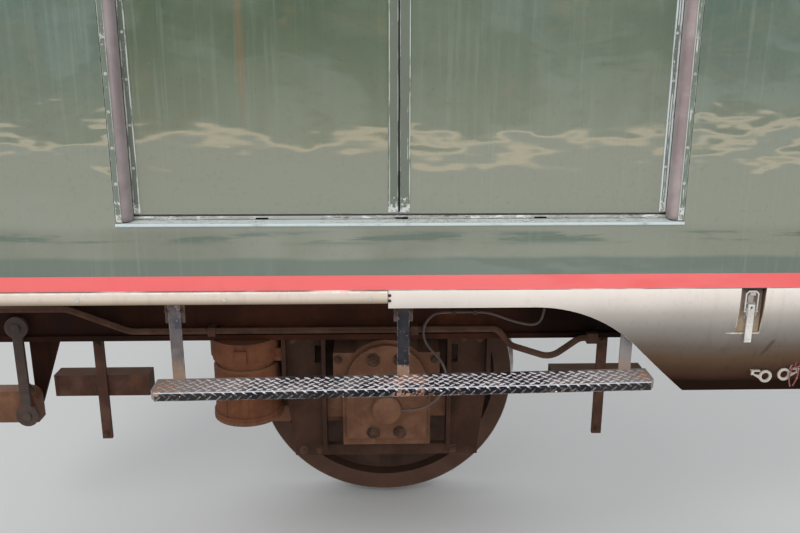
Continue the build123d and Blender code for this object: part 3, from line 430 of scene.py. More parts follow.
def green_enamel(
    name, clean, inner_face, stripe=False, waves=0.0040, ripple=0.0007, runs_of_rust=(), roof=None
):
    """Enamel on the outside and pale lining paint past inner_face."""
    f = Finish(name, Coat_Weight=1.0, Coat_Roughness=0.045, Coat_IOR=2.0)
    grime = f.grime(2.6, 75.0, 60.0)
    chips = f.chips(70.0, 0.10, 0.0025, 0.8)
    waves_here = f.use(SHEET, Wave_size=4.6, Wave_height=waves, Ripple_height=ripple, Grain_height=0.000008)
    # The lower side turns sage: road dust and a painted reflection of the pale ground, mixed.
    low = f.up(0.62, 0.12)
    dust_and_reflection = f.either(f.share(low, 0.70), f.share(grime["Blotch"], 0.30))
    colour = f.tint(dust_and_reflection, clean, SAGE_DUST_AND_REFLECTION)
    foot = f.both(f.up(-0.015, -0.05), f.mask(f.noise(1.9, 3.0), 0.30, 0.60))
    colour = f.lay(colour, foot, 0.60, rgb(0.160, 0.172, 0.112))
    damp = f.both(foot, f.mask(f.x, 0.50, 0.15))
    colour = f.lay(colour, damp, 0.55, rgb(0.125, 0.135, 0.085))
    if stripe:
        # Painted reflections of the platform's edge: a darker band over the red line and dark streaks above
        # it.
        edge = f.sum("MULTIPLY_ADD", f.noise(2.6, 3.0), -0.030, f.z)
        edge_reflection_band = f.mask(edge, FOOT - 0.126, FOOT - 0.142)
        colour = f.lay(colour, edge_reflection_band, 0.76, rgb(0.068, 0.112, 0.076))
        level = f.noise(16.0, 4.0, 0.6, along=(0.24, 1.0, 2.6))
        reflection_streaks = f.both(f.mask(level, 0.47, 0.61), f.up(-0.036, -0.050))
        reflection_streaks = f.both(reflection_streaks, f.up(-0.088, -0.064))
        colour = f.lay(colour, reflection_streaks, 0.80, rgb(0.050, 0.098, 0.060))
    colour = f.lay(colour, grime["Run"], 0.30, rgb(0.28, 0.31, 0.26))
    colour = f.lay(colour, grime["Speck"], 0.16, rgb(0.07, 0.085, 0.06))
    for x, half, foot_of_run, share in runs_of_rust:
        off = f.off(f.x, x * MM)
        ragged = f.sum("MULTIPLY_ADD", f.noise(9.0, 3.0), 0.012, off)
        line = f.both(
            f.mask(ragged, (half + 14) * MM, 4 * MM),
            f.mask(f.z, FOOT + foot_of_run, FOOT + foot_of_run + 0.22),
        )
        colour = f.lay(colour, line, share, rgb(0.245, 0.150, 0.075))
    if stripe:
        wander = f.sum("MULTIPLY_ADD", f.noise(30.0, 2.0), 0.0012, FOOT - 0.1706)
        red = f.mask(f.sum("SUBTRACT", wander, f.z), 0.0, 0.0003)
        faded = f.lay(STRIPE_RED, grime["Blotch"], 0.22, rgb(0.96, 0.15, 0.14))
        faded = f.lay(faded, grime["Run"], 0.15, rgb(0.60, 0.10, 0.08))
        colour = f.tint(red, colour, faded)
    colour = f.lay(colour, chips["Flakes"], 0.5, rgb(0.42, 0.43, 0.36))
    colour = f.tint(chips["Edge"], colour, rgb(0.50, 0.50, 0.43))
    inside = f.mask(f.y, SKIN + inner_face - 0.0015, SKIN + inner_face - 0.0005)
    if roof:
        facing = f.facing()
        inside = f.mask(f.sum("SUBTRACT", facing[1], facing[2]), -0.1, 0.1)
        sooty = f.tint(grime["Blotch"], rgb(0.235, 0.235, 0.225), rgb(0.125, 0.120, 0.112))
        colour = f.tint(
            f.mask(f.z, roof - 0.002, roof), colour, f.lay(sooty, grime["Run"], 0.4, rgb(0.09, 0.085, 0.08))
        )
    colour = f.tint(inside, colour, lining_colour(f, grime))
    dull = f.either(f.share(dust_and_reflection, 0.30), f.share(grime["Run"], 0.3))
    f.feed("Coat Weight", f.span(f.either(f.share(grime["Run"], 0.3), inside), 1.0, 0.2))
    f.feed("Coat Normal", f.bump(waves_here["Height"]))
    return f.done(colour, (dull, 0.30, 0.62), waves_here["Height"])


def paint(material, *names):
    """Gives CAD nodes a material."""
    for name in names:
        piece = nodes[name]
        if not piece.material_slots:
            piece.data.materials.append(material)
        for place in piece.material_slots:
            place.material = material


LEFT_RUNS = ((-441, 9, 0.20, 0.55),)
side_green = green_enamel("side_green", rgb(0.118, 0.168, 0.138), 0.060, stripe=True)
frame_green = green_enamel("frame_green", rgb(0.098, 0.135, 0.100), 0.119, waves=0.0005, ripple=0.0)
leaf_green_left = green_enamel(
    "leaf_green_left", rgb(0.102, 0.136, 0.087), 0.0895, waves=0.0024, ripple=0.0004, runs_of_rust=LEFT_RUNS
)
leaf_green_right = green_enamel(
    "leaf_green_right", rgb(0.132, 0.172, 0.128), 0.0895, waves=0.0030, ripple=0.0005
)
roof_edge = green_enamel(
    "roof_edge", rgb(0.118, 0.168, 0.138), 0.060, waves=0.0008, ripple=0.0, roof=cad_high.z - 0.085
)
paint(side_green, "body_side")
paint(roof_edge, "cantrail")
paint(frame_green, "rain_gutter", "door_post_left", "door_post_right", "door_header")
paint(leaf_green_left, "door_leaf_left")
paint(leaf_green_right, "door_leaf_right")
print("enamel on", side_green.name, frame_green.name, leaf_green_left.name, leaf_green_right.name)

# %% [markdown]
# The skirts are cream, or were. They darken from the top to nearly black at the foot, where they
# curve in under the coach: the slope on the height is brake dust and painted shade together, broken
# by blotches. The rail along their top is painted in shade down its rounded face. The top edge is
# chipped white along its whole length, and the pale worn edges also paint the highlight along the
# edge of the arch. The paint itself has no gloss left, so the shader's own gloss is nought, and a
# thin coat that fades out downwards gives back the little shine that the cream part still has.

# %% Cream skirt
# Down the skirt: brake dust together with painted shade, nearly black where the skirt turns in under the
# coach.
SKIRT_DUST_AND_SHADE_STOPS = (
    (-0.560, (0.026, 0.013, 0.009)), (-0.530, (0.070, 0.035, 0.024)), (-0.488, (0.097, 0.055, 0.035)),
    (-0.447, (0.132, 0.083, 0.053)), (-0.405, (0.158, 0.126, 0.104)), (-0.345, (0.280, 0.252, 0.230)),
    (-0.295, (0.460, 0.415, 0.372)), (-0.255, (0.740, 0.672, 0.610)), (-0.214, (0.930, 0.840, 0.765)),
)
# Down the rail: painted shade on its rounded face.
RAIL_SHADE_STOPS = (
    (-0.256, (0.260, 0.195, 0.135)), (-0.247, (0.400, 0.320, 0.240)), (-0.236, (0.700, 0.590, 0.490)),
    (-0.214, (0.900, 0.770, 0.680)),
)


def skirt_cream(name, stops, wander, flaked=0.22, pocket=None):
    """Cream paint that darkens from top to foot through the given stops: dust and painted shade."""
    f = Finish(name, Coat_Roughness=0.25, Specular_IOR_Level=0.0)
    grime = f.grime(5.0, 55.0, 30.0)
    chips = f.chips(60.0, flaked, 0.003, 0.9)
    height = f.sum("SUBTRACT", f.z, FOOT)
    height = f.sum("MULTIPLY_ADD", f.sum("SUBTRACT", f.noise(3.2, 4.0), 0.5), wander, height)
    colour = slope_of(f.tree, height, stops)
    colour = f.lay(colour, grime["Run"], 0.22, rgb(0.26, 0.20, 0.15), "MULTIPLY")
    colour = f.lay(colour, grime["Speck"], 0.10, rgb(0.45, 0.33, 0.24), "MULTIPLY")
    rust = f.both(f.mask(f.noise(7.0, 5.0, 0.7), 0.60, 0.72), f.mask(f.noise(48.0, 3.0), 0.48, 0.60))
    colour = f.lay(colour, rust, 0.20, rgb(0.42, 0.21, 0.11), "MULTIPLY")
    top = f.both(f.up(-0.2215, -0.2195), f.mask(f.noise(42.0, 4.0, 0.7), 0.58, 0.44))
    # Chipped white along the top edge, and pale worn edges, which also paint the highlight along the edge
    # of the arch.
    colour = f.lay(colour, f.either(top, chips["Edge"]), 0.9, rgb(0.90, 0.88, 0.82))
    if pocket:
        low, high = pocket
        lip = f.both(f.mask(f.z, low.z - 0.004, low.z - 0.0025), f.mask(f.z, low.z + 0.002, low.z))
        lip = f.both(
            lip, f.both(f.mask(f.x, low.x - 0.030, low.x - 0.020), f.mask(f.x, high.x + 0.004, high.x))
        )
        lip = f.both(lip, f.mask(f.noise(70.0, 3.0), 0.66, 0.46))
        colour = f.lay(colour, lip, 0.85, rgb(0.84, 0.79, 0.71))
        # A crease in the sheet near the pocket, drawn as a dark line of painted shade.
        crease_place = f.sum("MULTIPLY_ADD", f.z, -0.42, f.x)
        crease_place = f.sum("MULTIPLY_ADD", f.noise(30.0, 2.0), 0.006, crease_place)
        crease_shade = f.off(crease_place, high.x + 0.045 - 0.42 * (low.z - 0.053))
        crease_shade = f.both(
            f.mask(crease_shade, 0.010, 0.002),
            f.both(f.mask(f.z, low.z - 0.100, low.z - 0.066), f.mask(f.z, low.z - 0.020, low.z - 0.034)),
        )
        colour = f.lay(colour, crease_shade, 0.60, rgb(0.07, 0.045, 0.03))
    dark = f.both(f.up(-0.2168, -0.2158), f.mask(f.noise(5.0, 3.0), 0.35, 0.55))
    colour = f.lay(colour, dark, 0.8, rgb(0.05, 0.03, 0.02))
    colour = f.lay(colour, chips["Flakes"], 0.25, rgb(0.45, 0.34, 0.25), "MULTIPLY")
    dull = f.up(-0.22, -0.42)
    f.feed("Coat Weight", f.span(dull, 0.35, 0.0))
    waves = f.use(SHEET, Wave_size=5.0, Wave_height=0.0006, Grain_height=0.00003)
    return f.done(colour, (dull, 0.36, 0.80), waves["Height"])


skirt_paint = skirt_cream("skirt_paint", SKIRT_DUST_AND_SHADE_STOPS, 0.045, pocket=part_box("latch_pan"))
rail_paint = skirt_cream("rail_paint", RAIL_SHADE_STOPS, 0.004, flaked=0.3)
paint(skirt_paint, "skirt_panel")
paint(rail_paint, "skirt_rail")
print("cream on the skirts")

# %% [markdown]
# Under the floor everything ends up the same colour: a felt of iron dust and old oil, with nearly
# black runs. Faces that look up are lighter: settled dust, made brighter as painted light from
# above. The beams and plates are kept very dark as painted shade under the coach, and painted
# shade darkens the beams and horn plates further towards both ends. Forged and cast pieces get a
# coarser bump than plate.

# %% Underframe
def under_grime(name, base, dust, top, scale, bump, grain, rust, end_shade=()):
    """Matt brown dirt over iron, lighter on top faces with dust and painted light, and darkened with
    painted shade over the given stretches along the coach.
    """
    f = Finish(name, Specular_IOR_Level=0.12)
    grime = f.grime(scale, 90.0, 34.0)
    chips = f.chips(40.0, 0.2, 0.003, 0.6)
    colour = f.tint(grime["Blotch"], base, dust)
    colour = f.lay(colour, grime["Run"], 0.5, rgb(0.014, 0.008, 0.006))
    red = f.both(f.mask(f.noise(11.0, 5.0, 0.7), 0.50, 0.70), grime["Blotch"])
    colour = f.lay(colour, red, rust, rgb(0.15, 0.050, 0.020))
    facing = f.facing()
    # Faces that look up take the top colour: settled dust, and painted light from above.
    settled = f.share(f.mask(facing[2], 0.35, 0.9), 0.6)
    colour = f.tint(settled, colour, top)
    colour = f.lay(colour, chips["Edge"], 0.5, top)
    # Painted shade over the given stretches along the coach, towards the ends of the beams.
    for near, far, share in end_shade:
        colour = f.lay(colour, f.mask(f.x, near, far), share, rgb(0.10, 0.10, 0.11), "MULTIPLY")
    rough = f.sum("ADD", f.noise(grain, 6.0, 0.65), f.share(grime["Speck"], 0.5))
    return f.done(colour, (grime["Blotch"], 0.62, 0.93), rough, 0.9, bump)


# Stretches along the coach darkened with painted shade: from, to and share.
SHADED_ENDS = ((0.28, 0.55, 0.88), (-0.50, -0.95, 0.62))
# The beams and plates of the first row are very dark: dirt together with painted shade under the coach.
UNDERFRAME = (
    ("plate_dirt", (0.040, 0.012, 0.006), (0.068, 0.024, 0.013), (0.14, 0.070, 0.042),
     (6.0, 0.0006, 55.0, 0.3), SHADED_ENDS,
     ("bogie_side_beam", "side_bearer", "solebar", "floor_bearers", "skirt_gussets")),
    ("cast_dirt", (0.135, 0.062, 0.036), (0.215, 0.107, 0.065), (0.30, 0.18, 0.12),
     (9.0, 0.0011, 38.0, 0.2), (), ("axlebox", "axlebox_cover", "spring_plank")),
    ("horn_dirt", (0.046, 0.022, 0.015), (0.078, 0.040, 0.028), (0.15, 0.085, 0.058),
     (6.0, 0.0006, 55.0, 0.3), SHADED_ENDS, ("horn_plates",)),
    ("pot_dirt", (0.128, 0.047, 0.023), (0.205, 0.081, 0.043), (0.30, 0.17, 0.10),
     (9.0, 0.0011, 38.0, 0.2), (), ("spring_housing", "spring_cup")),
    ("clip_dirt", (0.090, 0.060, 0.052), (0.200, 0.150, 0.130), (0.55, 0.49, 0.45),
     (18.0, 0.0006, 60.0, 0.5), (), ("hanger_clips",)),
    ("bar_dirt", (0.070, 0.033, 0.023), (0.115, 0.062, 0.044), (0.20, 0.12, 0.08),
     (12.0, 0.0005, 70.0, 0.5), (),
     ("brake_pipe", "pipe_clips", "cable_clips", "brake_hangers", "brake_beams")),
    ("link_dirt", (0.060, 0.044, 0.040), (0.105, 0.075, 0.062), (0.18, 0.13, 0.10),
     (9.0, 0.0006, 50.0, 0.3), (), ("swing_link",)),
)
for name, base, dust, top, sizes, end_shade, names in UNDERFRAME:
    paint(under_grime(name, rgb(*base), rgb(*dust), rgb(*top), *sizes, end_shade), *names)
print("dirt on the underframe")

# %% [markdown]
# The pocket of the skirt latch was welded in later. Its back is beige with brown dirt, and its
# shading is painted: the back darkens towards its roof, the right wall is painted in shade, the left
# wall painted lighter as lit, and a painted shadow lies under the roof. The way a face points tells
# the walls from the back, so one material does for the whole pressing.

# %% Latch pocket
def pocket_paint():
    """Beige back with painted shade towards the roof, a shaded right wall, a lit left wall and a painted
    shadow under the roof.
    """
    f = Finish("pocket_paint", Specular_IOR_Level=0.25)
    grime = f.grime(16.0, 120.0, 60.0)
    facing = f.facing()
    low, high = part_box("latch_pan")
    # The back darkens towards the roof: painted shade.
    colour = f.tint(
        f.mask(f.z, low.z + 0.02, high.z - 0.03), rgb(0.42, 0.33, 0.23), rgb(0.24, 0.185, 0.150)
    )
    colour = f.lay(colour, grime["Blotch"], 0.6, rgb(0.19, 0.120, 0.080))
    colour = f.lay(colour, grime["Speck"], 0.5, rgb(0.07, 0.045, 0.035))
    # Painted shade on the right wall.
    shaded_right_wall = f.mask(facing[0], -0.4, -0.8)
    colour = f.lay(colour, shaded_right_wall, 0.9, rgb(0.085, 0.050, 0.034))
    # The left wall painted lighter, as lit.
    lit_left_wall = f.mask(facing[0], 0.4, 0.8)
    colour = f.lay(colour, lit_left_wall, 0.7, rgb(0.36, 0.31, 0.27))
    # Painted shadow under the roof.
    shadow_under_roof = f.mask(f.z, high.z - 0.022, high.z - 0.006)
    colour = f.lay(colour, shadow_under_roof, 0.85, rgb(0.045, 0.030, 0.024))
    return f.done(colour, (grime["Blotch"], 0.55, 0.85), f.noise(110.0, 4.0), 0.6, 0.0004)


paint(pocket_paint(), "latch_pan")
print("latch pocket painted")

# %% [markdown]
# The strips that clamp the door bands are dark green flats that boots and luggage have rubbed pale
# at their foot and along their edges. Their thin pale lines are painted highlights: broken lines at
# fixed places across each strip, where a mask measures the distance from a line and a stretched
# noise breaks it up. The sill is the same paint, grey on its upstand, with a painted reflection of
# the sky on its ledge and nose, a painted shadow under the doors, and flakes that are far denser
# than on the side.

# %% Strips and sill
def rubbed_paint(name, clean, bare, flaked, wear, width, gloss=0.42, highlight_lines=()):
    """Paint that is worn pale on its edges and flaked all over, with painted highlights along the given
    lines.
    """
    f = Finish(name, Coat_Weight=0.3, Coat_Roughness=0.2)
    grime = f.grime(9.0, 120.0, 60.0)
    chips = f.chips(130.0, flaked, width, wear)
    colour = f.lay(clean, grime["Blotch"], 0.5, rgb(0.15, 0.16, 0.125))
    colour = f.lay(colour, grime["Speck"], 0.4, rgb(0.20, 0.12, 0.07))
    colour = f.lay(colour, chips["Flakes"], 0.8, bare)
    colour = f.tint(chips["Edge"], colour, bare)
    dashes = f.noise(90.0, 3.0, 0.6, along=(1.0, 1.0, 0.12))
    # Each given line is a painted highlight: a broken pale line in the bare colour along a strip's edge.
    for x, half, low, high in highlight_lines:
        stray = f.sum("MULTIPLY_ADD", f.noise(24.0, 2.0), 0.0022, -0.0011 - x * MM)
        off = f.sum("ABSOLUTE", f.sum("ADD", f.x, stray))
        line = f.both(f.mask(off, (half + 0.5) * MM, (half - 0.5) * MM), f.mask(dashes, high, low))
        colour = f.lay(colour, line, 0.9, bare)
    kicked = f.both(f.up(0.060, 0.005), f.up(-0.040, -0.025))
    kicked = f.mask(f.sum("MULTIPLY_ADD", kicked, 0.20, f.noise(75.0, 4.0, 0.7)), 0.62, 0.68)
    colour = f.lay(colour, f.both(kicked, f.up(0.070, 0.050)), 0.75, rgb(0.78, 0.79, 0.76))
    return f.done(
        colour, (chips["Flakes"], gloss, 0.75), f.sum("MULTIPLY", chips["Flakes"], -1.0), 0.7, 0.0003
    )


def sill_paint():
    """Green paint with a painted reflection of the sky on the ledge and the nose, chipped grey on the
    upstand, and a painted shadow under the doors.
    """
    f = Finish("sill_paint", Coat_Weight=0.2, Coat_Roughness=0.20, Specular_IOR_Level=0.30)
    chips = f.chips(85.0, 0.62, 0.004, 1.0)
    grime = f.grime(8.0, 110.0, 50.0)
    colour = f.tint(grime["Blotch"], rgb(0.10, 0.125, 0.10), rgb(0.20, 0.21, 0.175))
    upstand = f.both(f.deep(0.0460, 0.0468), f.up(-0.0155, -0.0145))
    colour = f.lay(colour, upstand, 0.92, rgb(0.50, 0.505, 0.47))
    ledge = f.both(f.deep(0.0468, 0.0458), f.up(-0.0175, -0.0165))
    # The ledge takes a pale blue painted reflection of the sky.
    colour = f.lay(
        colour, ledge, 0.90, f.tint(f.noise(7.0, 3.0), rgb(0.70, 0.79, 0.79), rgb(0.90, 0.97, 0.97))
    )
    flaked = f.tint(f.noise(300.0, 2.0), rgb(0.62, 0.60, 0.53), rgb(0.24, 0.20, 0.15))
    colour = f.lay(colour, chips["Flakes"], 0.75, flaked)
    scuffs = f.noise(150.0, 4.0, 0.65, along=(0.22, 1.0, 1.0))
    trodden = f.both(f.either(ledge, upstand), f.mask(f.noise(6.0, 3.0), 0.42, 0.52))
    colour = f.lay(colour, f.both(trodden, f.mask(scuffs, 0.54, 0.57)), 0.9, rgb(0.93, 0.92, 0.89))
    colour = f.lay(colour, f.both(trodden, f.mask(scuffs, 0.42, 0.39)), 0.8, rgb(0.16, 0.12, 0.10))
    # The nose takes a painted reflection of the sky in pale blue-grey, and is the glossiest part of the
    # sill.
    nose = f.both(f.deep(0.001, -0.002), f.mask(f.noise(14.0, 4.0), 0.82, 0.50))
    colour = f.lay(colour, nose, 0.93, rgb(0.65, 0.73, 0.725))
    # Near black where the doors stand on the sill: painted shadow.
    shadow_under_doors = f.both(f.deep(0.0500, 0.0510), f.deep(0.090, 0.085))
    colour = f.tint(shadow_under_doors, colour, rgb(0.012, 0.012, 0.012))
    return f.done(colour, (nose, 0.5, 0.24), f.noise(150.0, 4.0), 0.5, 0.0004)


# Painted highlights on the strips: x and half width in millimetres, and the noise levels that break each
# line.
OUTER_HIGHLIGHTS = (
    (-798.5, 1.5, 0.42, 0.54), (-782.0, 1.8, 0.48, 0.58), (782.0, 2.6, 0.54, 0.64),
    (798.5, 1.6, 0.44, 0.54), (790.0, 2.0, 0.40, 0.50),
)
LEFT_HIGHLIGHTS = ((-758.5, 1.6, 0.48, 0.58), (-743.5, 2.0, 0.50, 0.60))
RIGHT_HIGHLIGHTS = ((758.0, 2.4, 0.58, 0.68), (751.0, 1.4, 0.44, 0.54), (743.5, 2.6, 0.58, 0.68))
MEETING_HIGHLIGHTS = (
    (-35.0, 0.9, 0.44, 0.60), (-11.8, 0.7, 0.46, 0.56), (21.8, 1.3, 0.47, 0.56), (16.0, 0.8, 0.36, 0.42),
)
STRIPS = (
    ("outer_paint", (0.178, 0.212, 0.172), (0.64, 0.67, 0.62), 0.40, 0.0026, OUTER_HIGHLIGHTS,
     ("post_clamp_strips",)),
    ("left_paint", (0.140, 0.165, 0.135), (0.64, 0.67, 0.62), 0.36, 0.0026, LEFT_HIGHLIGHTS,
     ("leaf_clamp_strip_left",)),
    ("right_paint", (0.180, 0.215, 0.190), (0.74, 0.79, 0.79), 0.42, 0.0026, RIGHT_HIGHLIGHTS,
     ("leaf_clamp_strip_right",)),
    ("meeting_paint", (0.155, 0.180, 0.140), (0.62, 0.65, 0.60), 0.24, 0.0024, MEETING_HIGHLIGHTS,
     ("meeting_strip_left", "meeting_strip_right")),
)
for name, clean, bare, flaked, width, highlight_lines, names in STRIPS:
    paint(rubbed_paint(name, rgb(*clean), rgb(*bare), flaked, 1.0, width, highlight_lines=highlight_lines), *names)
paint(sill_paint(), "door_sill")
print("strips and sill painted")

# %% [markdown]
# The footboard is black over tread plate. Shoes wear the tops of the lugs and the front edge, which
# are painted near white as a highlight on the worn metal, and rust shows at both ends and in the
# middle. Its three hangers were painted apart: the outer two have weathered to a chalky grey and
# rust at the foot, the middle one is still black.

# %% Footboard and hangers
STEP_MIDDLE, STEP_HALF, STEP_TOP, STEP_FRONT, STEP_LIP = 6, 750, -512, -20, 26
STEP_SLANT = math.tan(math.radians(0.84))
BOW = 1.8


def tread_black(name, lugs=False):
    """Black paint, rusty at the ends and the middle, with worn lug tops and front edge painted near white
    as a highlight.
    """
    f = Finish(name, Specular_IOR_Level=0.10)
    chips = f.chips(55.0, 0.5, 0.0035, 1.0)
    grime = f.grime(14.0, 140.0, 40.0)
    colour = f.tint(grime["Blotch"], rgb(0.022, 0.021, 0.027), rgb(0.085, 0.076, 0.080))
    away = f.off(f.x, 0.02)
    ends = f.mask(away, 0.46, 0.70)
    middle = f.mask(away, 0.12, 0.03)
    settled = f.sum("MULTIPLY_ADD", ends, 0.30, f.noise(5.0, 5.0, 0.65))
    settled = f.sum("MULTIPLY_ADD", f.mask(f.x, -0.30, -0.60), 0.14, settled)
    colour = f.lay(colour, f.mask(settled, 0.48, 0.70), 0.85, rgb(0.36, 0.305, 0.275))
    patch = f.mask(f.sum("MULTIPLY_ADD", middle, 0.20, f.noise(19.0, 5.0, 0.7)), 0.62, 0.72)
    corner = f.mask(
        f.sum("MULTIPLY_ADD", f.mask(away, 0.66, 0.75), 0.16, f.noise(14.0, 5.0, 0.7)), 0.62, 0.74
    )
    patch = f.either(patch, corner)
    colour = f.lay(colour, patch, 0.85, rgb(0.46, 0.235, 0.150))
    on_lip = f.mask(f.y, SKIN + (STEP_FRONT + 1.2) * MM, SKIN + (STEP_FRONT + 0.4) * MM)
    colour = f.lay(colour, f.both(on_lip, f.mask(patch, 0.9, 0.1)), 0.93, rgb(0.012, 0.011, 0.013))
    along = f.sum("DIVIDE", f.x, STEP_HALF * MM)
    level = f.sum("MULTIPLY_ADD", f.x, -STEP_SLANT, f.z)
    level = f.sum("MULTIPLY_ADD", f.both(along, along), -BOW * MM, level)
    if lugs:
        # Worn lug tops, painted near white as a highlight.
        worn_lug_highlight = f.mask(f.noise(34.0, 3.0), 0.84, 0.50)
        worn_lug_highlight = f.both(worn_lug_highlight, f.both(f.mask(f.x, -0.76, -0.42), f.mask(f.x, 0.80, 0.52)))
        worn_lug_highlight = f.both(worn_lug_highlight, f.mask(level, FOOT + (STEP_TOP - 9) * MM, FOOT + (STEP_TOP - 4) * MM))
        low_row = f.mask(level, FOOT + (STEP_TOP - 5) * MM, FOOT + (STEP_TOP - 9) * MM)
        colour = f.lay(colour, worn_lug_highlight, 0.95, rgb(0.93, 0.89, 0.92))
        colour = f.lay(colour, low_row, 0.85, rgb(0.085, 0.068, 0.060))
    colour = f.lay(colour, chips["Flakes"], 0.3, rgb(0.36, 0.31, 0.28))
    # The worn front fold, painted pale as a highlight.
    fold = f.both(
        f.mask(f.y, SKIN + (STEP_FRONT + 4.4) * MM, SKIN + (STEP_FRONT + 2.8) * MM),
        f.mask(level, FOOT + (STEP_TOP - 2.6) * MM, FOOT + (STEP_TOP - 1.6) * MM),
    )
    front = f.share(f.both(fold, f.mask(f.noise(26.0, 3.0), 0.90, 0.55)), 0.95)
    colour = f.tint(f.either(front, f.share(chips["Edge"], 0.6)), colour, rgb(0.86, 0.86, 0.92))
    white = f.mask(f.noise(62.0, 2.0), 0.735, 0.75)
    colour = f.tint(white, colour, rgb(0.90, 0.89, 0.85))
    f.feed("Metallic", f.share(f.either(front, chips["Edge"]), 0.3))
    return f.done(colour, (patch, 0.46, 0.88), f.noise(210.0, 5.0, 0.7), 0.7, 0.0005)


def hanger_finish():
    """Chalky grey outer hangers with rusty feet, and a black middle one."""
    f = Finish("hanger_finish", Specular_IOR_Level=0.30)
    chips = f.chips(80.0, 0.55, 0.002, 1.0)
    grime = f.grime(11.0, 130.0, 70.0)
    grey = f.tint(grime["Blotch"], rgb(0.186, 0.156, 0.152), rgb(0.105, 0.086, 0.092))
    waist = f.both(f.up(-0.44, -0.40), f.up(-0.30, -0.34))
    grey = f.lay(grey, f.both(waist, f.mask(f.noise(16.0, 4.0), 0.62, 0.42)), 0.8, rgb(0.050, 0.055, 0.080))
    grey = f.lay(grey, f.mask(f.x, 0.5, 0.6), 0.75, rgb(0.38, 0.345, 0.350))
    grey = f.lay(grey, grime["Run"], 0.5, rgb(0.34, 0.27, 0.22))
    foot = f.mask(f.sum("MULTIPLY_ADD", f.noise(25.0, 4.0), 0.10, f.z), FOOT - 0.40, FOOT - 0.46)
    grey = f.lay(grey, foot, 0.75, rgb(0.40, 0.27, 0.18))
    black = f.tint(grime["Blotch"], rgb(0.018, 0.017, 0.022), rgb(0.048, 0.044, 0.052))
    black = f.lay(black, f.up(-0.33, -0.28), 0.55, rgb(0.115, 0.085, 0.080))
    black = f.tint(f.up(-0.475, -0.487), black, rgb(0.34, 0.21, 0.15))
    middle = f.mask(f.sum("ABSOLUTE", f.x), 0.1, 0.09)
    colour = f.tint(middle, grey, black)
    colour = f.lay(colour, chips["Flakes"], 0.55, rgb(0.45, 0.42, 0.40))
    colour = f.tint(chips["Edge"], colour, rgb(0.62, 0.60, 0.58))
    return f.done(colour, (foot, 0.55, 0.9), f.noise(120.0, 5.0, 0.7), 0.8, 0.0006)


tread_paint = tread_black("tread_paint")
lug_paint = tread_black("lug_paint", lugs=True)
paint(hanger_finish(), "step_hangers")
print("footboard and hangers painted")

# %% [markdown]
# Bare metal is left for the wheel tread, the handles, the locks and the galvanised latch. On the
# wheel only the tread and the flange are bright, so the shine is a ring measured from the axle.
# Glass, rubber and the floor follow, each with the detail of its own.

# %% Metal that hands and rails keep bright
AXLE_X = -42
AXLE = at(AXLE_X, 0, -754)


def wheel_steel():
    """Brown wheel centre, bright tread."""
    f = Finish("wheel_steel")
    grime = f.grime(8.0, 80.0, 30.0)
    along = f.sum("SUBTRACT", f.x, AXLE.x)
    up = f.sum("SUBTRACT", f.z, AXLE.z)
    squared = f.sum("ADD", f.both(along, along), f.both(up, up))
    radius = f.sum("SQRT", squared)
    tread = f.both(f.mask(radius, 0.4725, 0.4738), f.mask(f.noise(9.0, 3.0), 0.85, 0.35))
    brown = f.tint(grime["Blotch"], rgb(0.045, 0.020, 0.013), rgb(0.085, 0.044, 0.030))
    rim = f.lay(brown, f.mask(radius, 0.395, 0.415), 0.4, rgb(0.13, 0.060, 0.035))
    colour = f.tint(tread, rim, rgb(0.52, 0.51, 0.49))
    f.feed("Metallic", tread)
    return f.done(colour, (tread, 0.85, 0.27), f.noise(60.0, 6.0, 0.65), 0.8, 0.0006)


def worn_steel(name, colour, rough, metal=1.0, speck=0.4):
    """Brushed or cast metal with dull patches and rust specks."""
    f = Finish(name, Metallic=metal)
    grime = f.grime(16.0, 170.0, 60.0)
    base = f.lay(colour, grime["Blotch"], 0.6, rgb(*(0.55 * part for part in colour[:3])))
    base = f.lay(base, grime["Speck"], speck, rgb(0.20, 0.10, 0.05))
    brushed = f.noise(1.0, 3.0, along=(900.0, 900.0, 25.0))
    return f.done(base, (grime["Blotch"], rough, rough + 0.25), brushed, 0.25, 0.0002)


handle_steel = worn_steel("handle_steel", rgb(0.56, 0.55, 0.52), 0.25)
lock_brass = worn_steel("lock_brass", rgb(0.48, 0.36, 0.17), 0.30)
screw_steel = worn_steel("screw_steel", rgb(0.66, 0.65, 0.60), 0.40, 0.3, 0.25)
latch_zinc = worn_steel("latch_zinc", rgb(0.84, 0.81, 0.75), 0.45, 0.1, 0.3)
eye_zinc = worn_steel("eye_zinc", rgb(0.62, 0.57, 0.50), 0.50, 0.1, 0.6)
base_zinc = worn_steel("base_zinc", rgb(0.52, 0.475, 0.43), 0.50, 0.1, 0.5)
bolt_dirt = under_grime(
    "bolt_dirt", rgb(0.055, 0.027, 0.018), rgb(0.12, 0.070, 0.048), rgb(0.20, 0.13, 0.09), 20.0, 0.0004,
    120.0, 0.35,
)
paint(wheel_steel(), "wheelset")
paint(handle_steel, "door_handle_left", "door_handle_right", "handrails")
paint(lock_brass, "rim_lock_left", "rim_lock_right")
paint(latch_zinc, "latch_lever", "latch_bail")
paint(base_zinc, "latch_base")
paint(eye_zinc, "skirt_eyes")
print("metal on wheel, handles, locks and latch")

# %% Glass, rubber and floor
def glass_pane():
    """Window glass with a faint green body and dust in its corners."""
    f = Finish("glass_pane", Transmission_Weight=1.0, IOR=1.5, Coat_Weight=0.0)
    grime = f.grime(5.0, 120.0, 18.0)
    f.feed("Base Color", f.lay(rgb(0.86, 0.92, 0.88), grime["Blotch"], 0.3, rgb(0.62, 0.66, 0.60)))
    f.feed("Roughness", ramp_between(f.tree, f.either(grime["Run"], grime["Speck"]), 0.0, 1.0, 0.01, 0.12))
    return f.material


